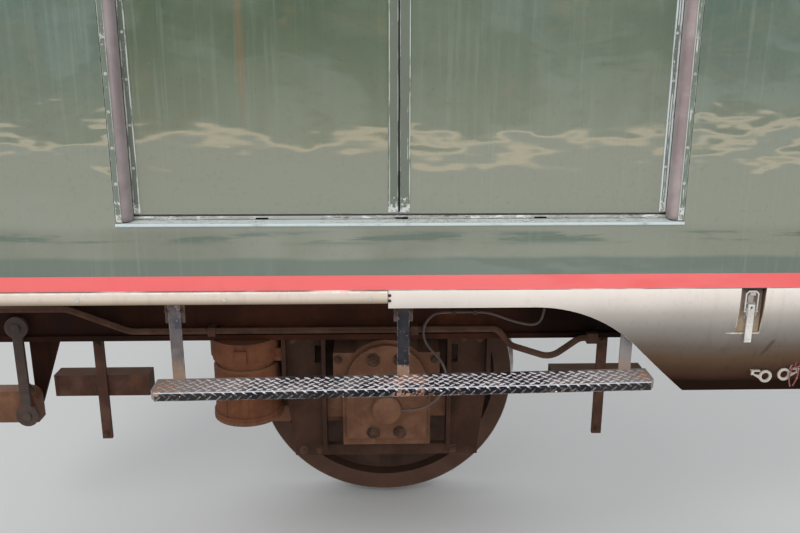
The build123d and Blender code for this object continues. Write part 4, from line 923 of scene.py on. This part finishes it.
def rubber(name, colour, dust, grain, height):
    """Matt rubber or coated cloth with dust in its grain."""
    f = Finish(name, Sheen_Weight=0.25)
    grime = f.grime(7.0, 150.0, 45.0)
    base = f.lay(colour, grime["Blotch"], 0.6, dust)
    base = f.lay(base, grime["Run"], 0.45, dust)
    return f.done(base, (grime["Blotch"], 0.5, 0.8), f.noise(grain, 3.0, 0.5), 0.6, height)


def floor_covering():
    """Dark ribbed floor, paler where people tread."""
    f = Finish("floor_covering")
    grime = f.grime(4.0, 200.0, 30.0)
    trodden = f.both(f.mask(f.sum("ABSOLUTE", f.x), 0.75, 0.35), f.mask(f.noise(3.5, 5.0), 0.35, 0.65))
    colour = f.tint(grime["Speck"], rgb(0.045, 0.043, 0.042), rgb(0.11, 0.10, 0.095))
    colour = f.lay(colour, trodden, 0.6, rgb(0.15, 0.135, 0.12))
    return f.done(colour, (trodden, 0.5, 0.78), f.noise(260.0, 3.0), 0.5, 0.0003)


seal_rubber = rubber("seal_rubber", rgb(0.022, 0.022, 0.022), rgb(0.075, 0.070, 0.062), 260.0, 0.0002)
band_cloth_left = rubber("band_cloth_left", rgb(0.255, 0.195, 0.200), rgb(0.40, 0.35, 0.345), 520.0, 0.0003)
band_cloth_right = rubber(
    "band_cloth_right", rgb(0.300, 0.226, 0.226), rgb(0.50, 0.43, 0.415), 520.0, 0.0003
)
# The cable's colours are kept dark as painted shade under the coach.
cable_skin = rubber("cable_skin", rgb(0.075, 0.052, 0.042), rgb(0.150, 0.112, 0.090), 300.0, 0.0002)
floor_rubber = floor_covering()
paint(glass_pane(), "window_glass_left", "window_glass_right")
paint(seal_rubber, "window_seal_left", "window_seal_right")
paint(floor_rubber, "vestibule_floor")
print("glass, rubber and floor done")

# %% [markdown]
# New pieces are handed over the same way each time: linked into the scene, given a material and
# set riding on a body. One function does that, and says how large each piece is.

# %% Handing a piece over
def hand_over(name, mesh, body, material=None):
    """Makes an object of a mesh and lets it ride on a body."""
    piece = placed(name, mesh)
    if material is not None:
        mesh.materials.clear()
        mesh.materials.append(material)
    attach(piece, body)
    print(name, "on", body, len(mesh.polygons), "faces")
    return piece


def plain_mesh(name, corners, faces=()):
    """A mesh from points and faces."""
    mesh = bpy.data.meshes.new(name)
    mesh.from_pydata([tuple(corner) for corner in corners], [], faces)
    mesh.update()
    return mesh


def frozen(piece):
    """The mesh of an object as its modifiers leave it."""
    return bpy.data.meshes.new_from_object(piece.evaluated_get(bpy.context.evaluated_depsgraph_get()))


def smooth(mesh):
    """Shades every face of a mesh smoothly."""
    for face in mesh.polygons:
        face.use_smooth = True


def grown(name, mesh, tree, **inputs):
    """Runs a Geometry Nodes tree on a mesh and returns the plain result."""
    seed = placed(name, mesh)
    growth = seed.modifiers.new("growth", "NODES")
    growth.node_group = tree
    for item in tree.interface.items_tree:
        word = item.name.replace(" ", "_")
        if item.in_out == "INPUT" and word in inputs:
            growth[item.identifier] = inputs[word]
    bpy.context.view_layer.update()
    made = frozen(seed)
    seed.modifiers.remove(growth)
    bpy.data.objects.remove(seed)
    made.name = name
    return made


# %% [markdown]
# Screws and bolts hold everything here, and there are more than a hundred of them. A Geometry Nodes
# tree makes one head and sets a copy on every point it is given, each turned by a random angle, as
# a fitter leaves them. A slotted head has its slot really cut, so it shows at any angle. A hexagon
# head is the same tree with six sides and a washer under it.

# %% A tree of fastener heads
FULL_TURN = 6.2832


def geometry_tree(name, inputs):
    """An empty Geometry Nodes tree."""
    inputs = [("Geometry", "Geometry", None), *inputs]
    return new_group(name, "GeometryNodeTree", inputs, ("Geometry",), "Geometry")


def joined(tree, *parts):
    """Several geometries as one."""
    join = tree.nodes.new("GeometryNodeJoinGeometry")
    for part in parts:
        tree.links.new(part, join.inputs[0])
    return join.outputs[0]


def moved(tree, part, up):
    """A geometry raised along its own axis."""
    place = first(tree, "ShaderNodeCombineXYZ", {2: up})
    return first(tree, "GeometryNodeTransform", {"Geometry": part, "Translation": place})


def ended(tree, copies, start, end):
    """Makes the copies real, gives them the tree's material and ends the tree."""
    real = first(tree, "GeometryNodeRealizeInstances", {0: copies})
    feeds = {"Geometry": real, "Material": start["Material"]}
    tree.links.new(first(tree, "GeometryNodeSetMaterial", feeds), end[0])
    return tree


def random_between(tree, low, high, seed):
    """A random number for each point."""
    feeds = {2: low, 3: high, "Seed": seed}
    return node(tree, "FunctionNodeRandomValue", feeds, data_type="FLOAT").outputs[1]


def set_on_points(tree, start, head):
    """Copies of a head on every point, facing one way and turned at random."""
    spin = random_between(tree, 0.0, FULL_TURN, start["Seed"])
    faced = first(tree, "FunctionNodeAlignRotationToVector", {"Vector": start["Facing"]}, axis="Z")
    turn = first(tree, "FunctionNodeAxisAngleToRotation", {"Axis": (0, 0, 1), "Angle": spin})
    feeds = {"Rotation": faced, "Rotate By": turn}
    turned = first(tree, "FunctionNodeRotateRotation", feeds, rotation_space="LOCAL")
    feeds = {"Points": start["Geometry"], "Instance": head, "Rotation": turned}
    return first(tree, "GeometryNodeInstanceOnPoints", feeds)


FASTENER_INPUTS = [
    ("Radius", "Float", 0.005), ("Height", "Float", 0.002), ("Facing", "Vector", None),
    ("Seed", "Int", 7), ("Material", "Material", None),
]


def screw_tree():
    """Slotted pan heads."""
    tree, start, end = geometry_tree("screw_heads", FASTENER_INPUTS)
    radius, height = start["Radius"], start["Height"]
    feeds = {"Vertices": 20, "Radius": radius, "Depth": height}
    barrel = moved(tree, first(tree, "GeometryNodeMeshCylinder", feeds), times(tree, height, 0.5))
    crown_r = times(tree, radius, 0.62)
    feeds = {
        "Vertices": 20, "Radius Bottom": radius, "Radius Top": crown_r, "Depth": times(tree, height, 0.6),
    }
    crown = moved(tree, first(tree, "GeometryNodeMeshCone", feeds), times(tree, height, 0.999))
    wide, thin = times(tree, radius, 2.4), times(tree, radius, 0.30)
    size = first(tree, "ShaderNodeCombineXYZ", {0: wide, 1: thin, 2: height})
    slot = moved(tree, first(tree, "GeometryNodeMeshCube", {"Size": size}), times(tree, height, 1.55))
    cut = node(
        tree, "GeometryNodeMeshBoolean", {0: joined(tree, barrel, crown), 1: slot}, operation="DIFFERENCE"
    )
    return ended(tree, set_on_points(tree, start, cut.outputs[0]), start, end)


def bolt_tree():
    """Hexagon heads on washers, with the end of the bolt showing."""
    tree, start, end = geometry_tree("bolt_heads", FASTENER_INPUTS)
    radius, height = start["Radius"], start["Height"]
    stack = []
    for sides, share, deep, up in ((20, 1.42, 0.22, 0.11), (6, 1.0, 0.8, 0.6), (12, 0.52, 0.35, 1.15)):
        feeds = {
            "Vertices": sides, "Radius": times(tree, radius, share),
            "Depth": times(tree, height, deep),
        }
        disc = first(tree, "GeometryNodeMeshCylinder", feeds)
        stack.append(moved(tree, disc, times(tree, height, up)))
    return ended(tree, set_on_points(tree, start, joined(tree, *stack)), start, end)


SCREWS, BOLTS = screw_tree(), bolt_tree()
OUTWARD, INWARD, UPWARD, DOWNWARD = (0, -1, 0), (0, 1, 0), (0, 0, 1), (0, 0, -1)


def fasten(name, tree, places, radius, height, body, material, facing=OUTWARD, seed=7):
    """Heads at a list of places, radius and height in millimetres."""
    sizes = {
        "Radius": radius * MM, "Height": height * MM, "Facing": facing, "Seed": seed, "Material": material,
    }
    mesh = grown(name, plain_mesh(name, places), tree, **sizes)
    return hand_over(name, mesh, body)


print("trees", SCREWS.name, BOLTS.name)

# %% [markdown]
# The screws stand where they show on the coach: about 98 mm apart up the outer strips, a little
# uneven because the strips were refitted by hand, and wider apart up the strips on the doors. The
# outer ones ride on the bay, the inner ones on their leaf, so they swing with it. A list of places
# and one tree are enough, because only the places differ.

# %% Screws in the clamp strips
STRAY_ACROSS, STRAY = 1, 3.0
POST_STRIP = {"x": 790, "depth": 0, "lowest": -2, "last": 1900, "pitch": 98}
LEAF_STRIP = {"x": 751, "depth": 46.5, "lowest": 8, "last": 1930, "pitch": 122}
random.seed(11)


def up_the_strip(side, x, depth, lowest, last, pitch):
    """Uneven places up a strip."""
    places, height = [], lowest
    while height < last:
        across = side * x + random.uniform(-STRAY_ACROSS, STRAY_ACROSS)
        places.append(at(across, depth, height + random.uniform(-STRAY, STRAY)))
        height += pitch
    return places


outer = [place for side in (-1, 1) for place in up_the_strip(side, **POST_STRIP)]
fasten("outer_strip_screws", SCREWS, outer, 4.6, 1.8, "bay", screw_steel)
for word, side in SIDES:
    inner = up_the_strip(side, **LEAF_STRIP)
    fasten(f"inner_strip_screws_{word}", SCREWS, inner, 4.2, 1.6, f"leaf_{word}", screw_steel)

# %% [markdown]
# The smaller fasteners are listed by place. Each row below is one group with its own size: the
# screws of the skirt rail, the two small bolts at the joint of the skirts, the pads of the handrails,
# the locks, the latch, the lining inside the coach, and the bolts of the underframe.

# %% Fasteners of the side, the doors and the latch
HANDRAIL_X, HANGER_PITCH = 905, 683
SMALL_GROUPS = (
    ("rail_screws", SCREWS, "bay", "steel", latch_zinc, 6.5, 2.6, OUTWARD,
     [(-1330, -8, -237), (-926, -8, -237), (-510, -8, -237), (-92, -8, -237)]),
    ("joint_bolts", BOLTS, "bay", "steel", bolt_dirt, 3.4, 3.0, OUTWARD, [(-36, 0, -231), (-36, 0, -247)]),
    ("handrail_screws", SCREWS, "bay", "steel", screw_steel, 3.4, 1.4, OUTWARD,
     [(side * HANDRAIL_X + dx, -5, z) for side in (-1, 1) for dx in (-18, 18) for z in (726, 1574)]),
    ("lock_screws_left", SCREWS, "leaf_left", "steel", screw_steel, 4.0, 1.6, INWARD,
     [(-54 + dx, 114, z) for dx in (-26, 26) for z in (976, 1134)]),
    ("lock_screws_right", SCREWS, "leaf_right", "steel", screw_steel, 4.0, 1.6, INWARD,
     [(38 + dx, 114, z) for dx in (-26, 26) for z in (976, 1134)]),
    ("latch_rivets", SCREWS, "bay", "latch", screw_steel, 2.6, 1.4, OUTWARD,
     [(1027 + dx, 15, z) for dx in (-11, 11) for z in (-268, -309)]),
    ("frame_screws", SCREWS, "bay", "steel", screw_steel, 4.6, 1.8, INWARD,
     [(side * 826, 119.8, z) for side in (-1, 1) for z in range(90, 1900, 245)]
     + [(x, 119.8, 2020) for x in range(-720, 721, 240)]),
    ("dado_screws", SCREWS, "bay", "steel", screw_steel, 3.4, 1.4, INWARD,
     [(side * x, 59.8, z) for side in (-1, 1) for x in (HANDRAIL_X, 1100, 1140, 1360) for z in (840, 880)]),
)
for name, tree, body, slot, material, radius, height, facing, places in SMALL_GROUPS:
    fasten(name, tree, [at(*place) for place in places], radius, height, body, material, facing)

# %% Bolts of the underframe
BOLT_GROUPS = (
    ("beam_bolts", 9, 8, OUTWARD, [(x, 380, -330) for x in range(-1340, 900, 140)]),
    ("shoulder_bolts", 11, 9, OUTWARD,
     [(AXLE_X + side * 167, 385, z) for side in (-1, 1) for z in (-584, -655)]),
    ("cover_bolts", 17, 12, OUTWARD, [(AXLE_X + dx, 365, z) for dx in (-46, 46) for z in (-578, -850)]),
    ("pot_lug_bolts", 10, 9, OUTWARD, [(-436, 386, -563)]),
    ("clip_bolts", 5, 4, OUTWARD,
     [(STEP_MIDDLE + k * HANGER_PITCH + dx, 77, -300) for k in (-1, 0, 1) for dx in (-23, 23)]),
    ("hanger_bolts", 7, 6, OUTWARD, [(STEP_MIDDLE + k * HANGER_PITCH, 77, -262) for k in (-1, 0, 1)]),
    ("horn_bolts", 11, 9, OUTWARD,
     [(AXLE_X + side * (210 + dx), 427.5, -524) for side in (-1, 1) for dx in (58, 118)]),
    ("horn_tie_bolts", 12, 10, OUTWARD,
     [(AXLE_X + side * (210 + dx), 427.5, -950) for side in (-1, 1) for dx in (30, 88)]),
    ("plank_nut", 15, 14, UPWARD, [(-1288, 405, -690)]),
    ("hanger_pins", 9, 8, OUTWARD, [(x, 436, z) for x in (-1040, 720) for z in (-540, -880)]),
    ("bearer_bolts", 9, 8, DOWNWARD,
     [(x + dx, depth, -156) for x in (-900, 0, 900) for dx in (-28, 28) for depth in (200, 760)]),
)
for seed, (name, radius, height, facing, places) in enumerate(BOLT_GROUPS):
    places = [at(*place) for place in places]
    fasten(name, BOLTS, places, radius, height, "bay", bolt_dirt, facing, seed)

# %% [markdown]
# The hinge bands are strips of coated cloth, held by the strips on both sides. They aren't rigid:
# they ripple a little. Each is a mesh that runs across the reveal in narrow steps.

# %% Hinge bands
BAND_STEPS, BAND_LOW, BAND_HIGH = 120, -12, 1950


def band_line(side):
    """Points across a band, from under the outer strip, round the bend, to the leaf."""
    tail, middle, outer_face, end, bend = 796.5, 762.0, 3.0, 45.0, 19.5
    points = [(tail, outer_face), ((tail + middle + bend) / 2, outer_face)]
    for k in range(7):
        turn = math.radians(90 * k / 6)
        points.append((middle + bend * (1 - math.sin(turn)), outer_face + bend * (1 - math.cos(turn))))
    points += [(middle, outer_face + bend + step) for step in (6, 12, 18)] + [(middle, end)]
    return [(side * x, depth) for x, depth in points]


def make_band(word, side):
    """A rippled strip of coated cloth, with thickness."""
    line = band_line(side)
    rng = random.Random(31 + side)
    phases = [(rng.uniform(0, 6.28), rng.uniform(0.006, 0.02), rng.uniform(0.15, 0.5)) for _ in range(5)]
    corners, faces = [], []
    for row in range(BAND_STEPS + 1):
        height = BAND_LOW + (BAND_HIGH - BAND_LOW) * row / BAND_STEPS
        for place, (x, depth) in enumerate(line):
            free = math.sin(math.pi * place / (len(line) - 1))
            ripple = sum(size * math.sin(phase + height * rate) for phase, rate, size in phases)
            corners.append(at(x, depth + free * ripple, height))
    wide = len(line)
    for row in range(BAND_STEPS):
        for k in range(wide - 1):
            a = row * wide + k
            quad = (a, a + 1, a + wide + 1, a + wide)
            faces.append(quad if side < 0 else quad[::-1])
    mesh = plain_mesh(f"band_cloth_{word}", corners, faces)
    piece = placed(f"band_cloth_{word}", mesh)
    mesh.materials.append(band_cloth_left if side < 0 else band_cloth_right)
    wall = piece.modifiers.new("wall", "SOLIDIFY")
    wall.thickness, wall.offset = 2.6 * MM, -1.0
    smooth(mesh)
    solid = frozen(piece)
    piece.modifiers.remove(wall)
    piece.data = solid
    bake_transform(piece)
    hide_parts(f"hinge_band_{word}")
    print(piece.name, len(solid.polygons), "faces")
    return piece


for word, side in SIDES:
    make_band(word, side)

# %% [markdown]
# Where the doors meet, a soft lip on the left one closes the gap, so that no daylight shows between
# them. It is a strip of rubber as wide as the gap, with a rounded front, and it swings with its door.

# %% Lip between the doors
LIP_LEFT, LIP_RIGHT, LIP_FRONT, LIP_BACK = -11.0, -5.6, 54.0, 84.0


def meeting_lip():
    """A round-fronted strip up the whole height of the doors."""
    centre, half = (LIP_LEFT + LIP_RIGHT) / 2, (LIP_RIGHT - LIP_LEFT) / 2
    outline = [(centre + half, LIP_BACK), (centre - half, LIP_BACK)]
    for k in range(7):
        turn = math.radians(180 - 30 * k)
        outline.append((centre + half * math.cos(turn), LIP_FRONT + half - half * math.sin(turn)))
    corners = [at(x, depth, height) for height in (4, 1946) for x, depth in outline]
    ring = len(outline)
    sides = [(k, (k + 1) % ring, ring + (k + 1) % ring, ring + k) for k in range(ring)]
    ends = [tuple(range(ring))[::-1], tuple(range(ring, 2 * ring))]
    mesh = plain_mesh("meeting_lip", corners, sides + ends)
    shape = bmesh.new()
    shape.from_mesh(mesh)
    bmesh.ops.recalc_face_normals(shape, faces=shape.faces)
    shape.to_mesh(mesh)
    shape.free()
    return mesh


hand_over("meeting_lip_left", meeting_lip(), "leaf_left", seal_rubber)

# %% [markdown]
# The footboard is tread plate folded down at its edges. Its lugs lie crosswise in two sets, each
# turned by about 40 degrees. A grid inside a Geometry Nodes tree places them, and a random turn and
# size make them as uneven as worn ones. The plate itself is the solid's own mesh, cut into short
# lengths so that it can sag a little in its middle, as the real one does after years of boots.

# %% Footboard: the bowed plate
CUT_PITCH = 30


def bowed(point):
    """A point of the footboard moved by its sag, which leaves both ends a little higher."""
    along = (point.x / MM - STEP_MIDDLE) / STEP_HALF
    return Vector((point.x, point.y, point.z + BOW * MM * along * along))


def slanted(point):
    """A point laid out level, brought onto the slant of the footboard."""
    return Vector((point.x, point.y, point.z + (point.x - STEP_MIDDLE * MM) * STEP_SLANT))


def bowed_plate():
    """The solid's mesh, merged, cut across every 30 mm, bent and given soft edges."""
    work = bmesh.new()
    work.from_mesh(nodes["footboard"].data)
    bmesh.ops.remove_doubles(work, verts=work.verts, dist=1e-5)
    bmesh.ops.dissolve_limit(work, angle_limit=0.02, verts=work.verts, edges=work.edges)
    for k in range(1, 2 * STEP_HALF // CUT_PITCH):
        cut = at(STEP_MIDDLE - STEP_HALF + CUT_PITCH * k, 0, 0)
        everything = work.verts[:] + work.edges[:] + work.faces[:]
        bmesh.ops.bisect_plane(work, geom=everything, plane_co=cut, plane_no=(1, 0, 0))
    for corner in work.verts:
        corner.co = bowed(corner.co)
    mesh = bpy.data.meshes.new("tread_plate")
    work.to_mesh(mesh)
    work.free()
    piece = placed("tread_plate", mesh)
    edge = piece.modifiers.new("edge", "BEVEL")
    edge.width, edge.segments, edge.limit_method = 1.6 * MM, 2, "ANGLE"
    soft = frozen(piece)
    bpy.data.objects.remove(piece)
    soft.name = "tread_plate"
    return soft


plate = hand_over("tread_plate", bowed_plate(), "bay", tread_paint)
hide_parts("footboard")

# %% Footboard: the lugs
LUG_PITCH, LUG_FIELD = 30.0, 1440
LUG_TURN, LUG_STRAY = 0.70, 0.14


def lug_tree():
    """Two crossed sets of lugs on a flat grid."""
    inputs = [
        ("Length", "Float", 1.47), ("Depth", "Float", 0.075), ("Pitch", "Float", 0.03),
        ("Lug length", "Float", 0.0275), ("Lug width", "Float", 0.0088), ("Lug height", "Float", 0.0016),
        ("Seed", "Int", 5), ("Material", "Material", None),
    ]
    tree, start, end = geometry_tree("tread_lugs", inputs)
    half = times(tree, start["Pitch"], 0.5)
    sets = []
    for turn, shift in ((LUG_TURN, 0.0), (-LUG_TURN, 1.0)):
        feeds = {"Size X": start["Length"], "Size Y": start["Depth"]}
        for axis, size in (("X", start["Length"]), ("Y", start["Depth"])):
            steps = sum_of(tree, "ROUND", sum_of(tree, "DIVIDE", size, start["Pitch"]))
            feeds[f"Vertices {axis}"] = sum_of(tree, "ADD", steps, 1.0)
        grid = first(tree, "GeometryNodeMeshGrid", feeds)
        offset = times(tree, half, shift)
        place = first(tree, "ShaderNodeCombineXYZ", {0: offset, 1: offset})
        grid = first(tree, "GeometryNodeTransform", {"Geometry": grid, "Translation": place})
        stray = random_between(tree, turn - LUG_STRAY, turn + LUG_STRAY, start["Seed"])
        worn = random_between(tree, 0.82, 1.10, 12)
        angle = first(tree, "ShaderNodeCombineXYZ", {2: stray})
        ball = first(tree, "GeometryNodeMeshUVSphere", {"Segments": 8, "Rings": 4, "Radius": 0.5})
        sizes = {0: start["Lug length"], 1: start["Lug width"], 2: start["Lug height"]}
        size = first(tree, "ShaderNodeCombineXYZ", sizes)
        lug = first(tree, "GeometryNodeTransform", {"Geometry": ball, "Scale": size})
        feeds = {"Points": grid, "Instance": lug, "Rotation": angle, "Scale": worn}
        sets.append(first(tree, "GeometryNodeInstanceOnPoints", feeds))
    return ended(tree, joined(tree, *sets), start, end)


LUGS = lug_tree()


def lay_lugs(name, length, depth, turn, middle, tall=3.4, wide=10.2, lowest=-9.0):
    """A field of lugs, laid on the plate, trimmed at the foot of its lip and bent with it."""
    sizes = {
        "Length": length * MM, "Depth": depth * MM, "Pitch": LUG_PITCH * MM, "Lug_height": tall * MM,
        "Lug_width": wide * MM,
    }
    mesh = grown(name, plain_mesh(name, [(0, 0, 0)]), LUGS, Material=lug_paint, **sizes)
    mesh.transform(Matrix.Translation(middle) @ Matrix.Rotation(turn, 4, "X"))
    for corner in mesh.vertices:
        corner.co.z = max(corner.co.z, lowest)
        corner.co = bowed(slanted(corner.co))
    smooth(mesh)
    return hand_over(name, mesh, "bay")


lip_foot = at(0, 0, STEP_TOP - STEP_LIP).z
top_middle = at(STEP_MIDDLE - 7, STEP_FRONT + 44, STEP_TOP)
lip_middle = at(STEP_MIDDLE - 7, STEP_FRONT, STEP_TOP - 20)
lay_lugs("lugs_on_top", LUG_FIELD, 60, 0.0, top_middle)
lay_lugs("lugs_on_lip", LUG_FIELD, 0.1, math.pi / 2, lip_middle, 3.0, 5.8, lip_foot)

# %% [markdown]
# The thin cable that earths the axlebox climbs over the brake pipe, through two clips, and dips to
# its gland. It is clipped all the way, so it isn't a free cord, but it still has to look soft: one
# smooth NURBS line through the same points as the solid, with a tube round it.

# %% Axlebox cable and the loops of wire on the skirt
CABLE_DEPTH, CABLE_R = 340.5, 4.0
CABLE_POINTS = (
    (8.2, -754), (72, -754), (138, -716), (168, -640), (145, -570), (90, -515), (78, -455), (110, -406),
    (150, -399), (285, -399), (320, -408), (395, -437), (468, -450), (489, -400), (489, -345),
)


def tube(name, points, radius, material):
    """A smooth tube along a NURBS line, as a mesh."""
    curve = bpy.data.curves.new(name, "CURVE")
    curve.dimensions = "3D"
    line = curve.splines.new("NURBS")
    line.points.add(len(points) - 1)
    for knot, point in zip(line.points, points):
        knot.co = (*point, 1.0)
    line.order_u, line.use_endpoint_u, line.resolution_u = 3, True, 10
    curve.bevel_depth, curve.bevel_resolution, curve.use_fill_caps = radius * MM, 3, True
    shape = placed(name, curve)
    bpy.context.view_layer.update()
    mesh = frozen(shape)
    bpy.data.objects.remove(shape)
    mesh.name = name
    for face in mesh.polygons:
        face.use_smooth = len(face.vertices) == 4
    return hand_over(name, mesh, "bay", material)


cable = tube("earth_cable", [at(x, CABLE_DEPTH, z) for x, z in CABLE_POINTS], CABLE_R, cable_skin)
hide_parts("axlebox_cable")
wire_red = rubbed_paint("wire_red", rgb(0.30, 0.055, 0.055), rgb(0.42, 0.22, 0.20), 0.2, 0.3, 0.0005, 0.5)
wire_pale = rubbed_paint("wire_pale", rgb(0.36, 0.20, 0.19), rgb(0.5, 0.42, 0.38), 0.2, 0.3, 0.0005, 0.6)

# %% [markdown]
# The wire loops hang through the right eye of the skirt. They are thin, stiff offcuts that somebody
# twisted on, so three short loops in two colours are enough.

# %% Wire loops
WIRE_R = 2.2


def wire_loop(name, centre, wide, tall, lean, material):
    """An open loop of wire that hangs from a place."""
    points = []
    for k in range(9):
        turn = math.radians(-70 + 320 * k / 8)
        points.append(centre + Vector((
            wide * MM * math.cos(turn) + lean * MM * math.sin(turn),
            (4 - 3 * math.sin(turn * 2)) * MM,
            tall * MM * math.sin(turn),
        )))
    return tube(name, points, WIRE_R, material)


WIRES = (
    ("wire_loop_red", (1212, 58, -522), 13, 34, 3, wire_red),
    ("wire_loop_pale", (1222, 66, -488), 16, 12, 14, wire_pale),
    ("wire_loop_dark", (1238, 60, -472), 20, 14, 18, wire_red),
)
for name, centre, wide, tall, lean, material in WIRES:
    wire_loop(name, at(*centre), wide, tall, lean, material)

# %% [markdown]
# Behind the doors the floor is ribbed rubber. The ribs repeat, so a tree lays them: one rib, set
# along a line at an even pitch.

# %% Floor ribs
def rib_tree():
    """Straight ribs side by side."""
    inputs = [
        ("Length", "Float", 2.7), ("Count", "Int", 30), ("Pitch", "Float", 0.022),
        ("Width", "Float", 0.007), ("Height", "Float", 0.0018), ("Material", "Material", None),
    ]
    tree, start, end = geometry_tree("floor_ribs", inputs)
    step = first(tree, "ShaderNodeCombineXYZ", {1: start["Pitch"]})
    line = first(tree, "GeometryNodeMeshLine", {"Count": start["Count"], "Offset": step})
    ring = first(tree, "GeometryNodeMeshCylinder", {"Vertices": 8, "Radius": 0.5, "Depth": 1.0})
    size = first(tree, "ShaderNodeCombineXYZ", {0: start["Height"], 1: start["Width"], 2: start["Length"]})
    feeds = {"Geometry": ring, "Scale": size}
    rib = first(tree, "GeometryNodeTransform", feeds)
    rib = first(tree, "GeometryNodeTransform", {"Geometry": rib, "Rotation": (0, math.pi / 2, 0)})
    copies = first(tree, "GeometryNodeInstanceOnPoints", {"Points": line, "Instance": rib})
    return ended(tree, copies, start, end)


rib_sizes = {
    "Length": 2.76, "Count": 32, "Pitch": 0.022, "Width": 0.008, "Height": 0.0040, "Material": floor_rubber,
}
ribs = grown("floor_ribs", plain_mesh("floor_ribs", [(0, 0, 0)]), rib_tree(), **rib_sizes)
ribs.transform(Matrix.Translation(at(0, 140, -6)))
hand_over("floor_ribs", ribs, "bay")

# %% [markdown]
# A plain pale floor lies just under the lowest point of the model. Gloss enamel needs something to
# reflect, so a mottled green card stands far in front of the coach and darkens the upper half of
# its mirror. A narrow glowing strip lies on the ground before the card, and its glow gives the
# pale wavy line across both doors. Both show in reflections only, so they neither light the coach
# nor stand in the picture, and the lamps stay a plain soft light.

# %% Floor, card and light
def stage_sheet(name, corners, colour):
    """A flat, matt sheet of the stage."""
    mesh = plain_mesh(name, corners, [tuple(range(len(corners)))])
    sheet = placed(name, mesh)
    plain = bpy.data.materials.new(name)
    plain.use_nodes = True
    sockets = plain.node_tree.nodes["Principled BSDF"].inputs
    for word, value in (("Base Color", colour), ("Roughness", 0.9), ("Specular IOR Level", 0.0)):
        sockets[word].default_value = value
    mesh.materials.append(plain)
    sheet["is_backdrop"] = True
    return sheet


def area_lamp(name, place, target, size, power):
    """A soft square lamp aimed at a target, which gloss doesn't mirror."""
    data = bpy.data.lights.new(name, "AREA")
    data.energy, data.size = power, size
    lamp = placed(name, data)
    lamp.location = place
    lamp.rotation_euler = (Vector(target) - Vector(place)).to_track_quat("-Z", "Y").to_euler()
    lamp.visible_glossy = False
    return lamp


def upright(away, half, low, high):
    """Corners of a sheet that stands in front of the coach."""
    return [(-half, -away, low), (half, -away, low), (half, -away, high), (-half, -away, high)]


def lying(near, far, half, height):
    """Corners of a sheet that lies in front of the coach."""
    return [(-half, -far, height), (half, -far, height), (half, -near, height), (-half, -near, height)]


def only_in_gloss(sheet):
    """Lets a sheet show in reflections and nowhere else."""
    sheet.visible_camera = sheet.visible_diffuse = sheet.visible_shadow = False
    sheet.visible_transmission = False


FLOOR_HALF, TREES_AWAY, GLOW_STRIP_AWAY = 45.0, 13.4, 12.0
low = cad_low.z - 0.001
stage_sheet("floor", lying(-FLOOR_HALF, FLOOR_HALF, FLOOR_HALF, low), rgb(0.70, 0.70, 0.69))
trees = stage_sheet("trees", upright(TREES_AWAY, 30, low, low + 9), rgb(0.03, 0.045, 0.022))
leaves = trees.data.materials[0].node_tree
spot = node(leaves, "ShaderNodeTexCoord").outputs["Object"]
clump = ramp_between(leaves, noise(leaves, spot, 2.4, 6.0, 0.7, 0.8), 0.42, 0.64)
green = tint(leaves, clump, rgb(0.004, 0.020, 0.008), rgb(0.150, 0.260, 0.100))
open_sky = ramp_between(leaves, noise(leaves, spot, 0.62, 4.0, 0.6, 0.7), 0.49, 0.64)
green = tint(leaves, open_sky, green, rgb(0.480, 0.610, 0.550))
stems = ramp_between(
    leaves, noise(leaves, stretched(leaves, spot, (1.0, 1.0, 0.10)), 3.4, 4.0, 0.6), 0.48, 0.66
)
green = tint(leaves, times(leaves, stems, 0.45), green, rgb(0.060, 0.110, 0.050))
autumn = ramp_between(leaves, noise(leaves, spot, 1.9, 4.0, 0.6, 1.4), 0.60, 0.66)
green = tint(leaves, times(leaves, autumn, 0.85), green, rgb(0.850, 0.480, 0.150))
leaves.links.new(green, leaves.nodes["Principled BSDF"].inputs["Base Color"])
only_in_gloss(trees)
# A glowing strip, seen only in reflections.
glow_strip = stage_sheet("glow_strip", lying(GLOW_STRIP_AWAY, TREES_AWAY, 30, low + 0.002), rgb(0, 0, 0))
bright = glow_strip.data.materials[0].node_tree.nodes["Principled BSDF"].inputs
bright["Emission Color"].default_value = rgb(1.0, 0.78, 0.55)
bright["Emission Strength"].default_value = 1.9
only_in_gloss(glow_strip)
area_lamp("key", (-2.5, -5.0, 4.5), (0, -0.8, -0.1), 3.0, 130)
area_lamp("low_fill", (1.5, -4.5, 0.4), (0.0, -0.5, -0.6), 2.5, 22)

world = bpy.data.worlds.new("daylight")
bpy.context.scene.world = world
world.use_nodes = True
sky = world.node_tree.nodes["Background"]
sky.inputs["Color"].default_value = rgb(0.86, 0.88, 0.90)
sky.inputs["Strength"].default_value = 0.85
bpy.context.scene.view_settings.view_transform = "Standard"
print("stage ready, floor at z", round(low, 3))

# %% [markdown]
# Last come the sizes. The solid model's box was kept from the start, and the script prints how far
# the dressed model has grown past it.

# %% Sizes and end
seen_low, seen_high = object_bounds()
sizes = {"cad": [list(cad_low), list(cad_high)], "visual": [list(seen_low), list(seen_high)]}
print(
    "grown by", [round((a - b) * 1000, 1) for a, b in zip(cad_low, seen_low)],
    [round((b - a) * 1000, 1) for a, b in zip(cad_high, seen_high)],
)
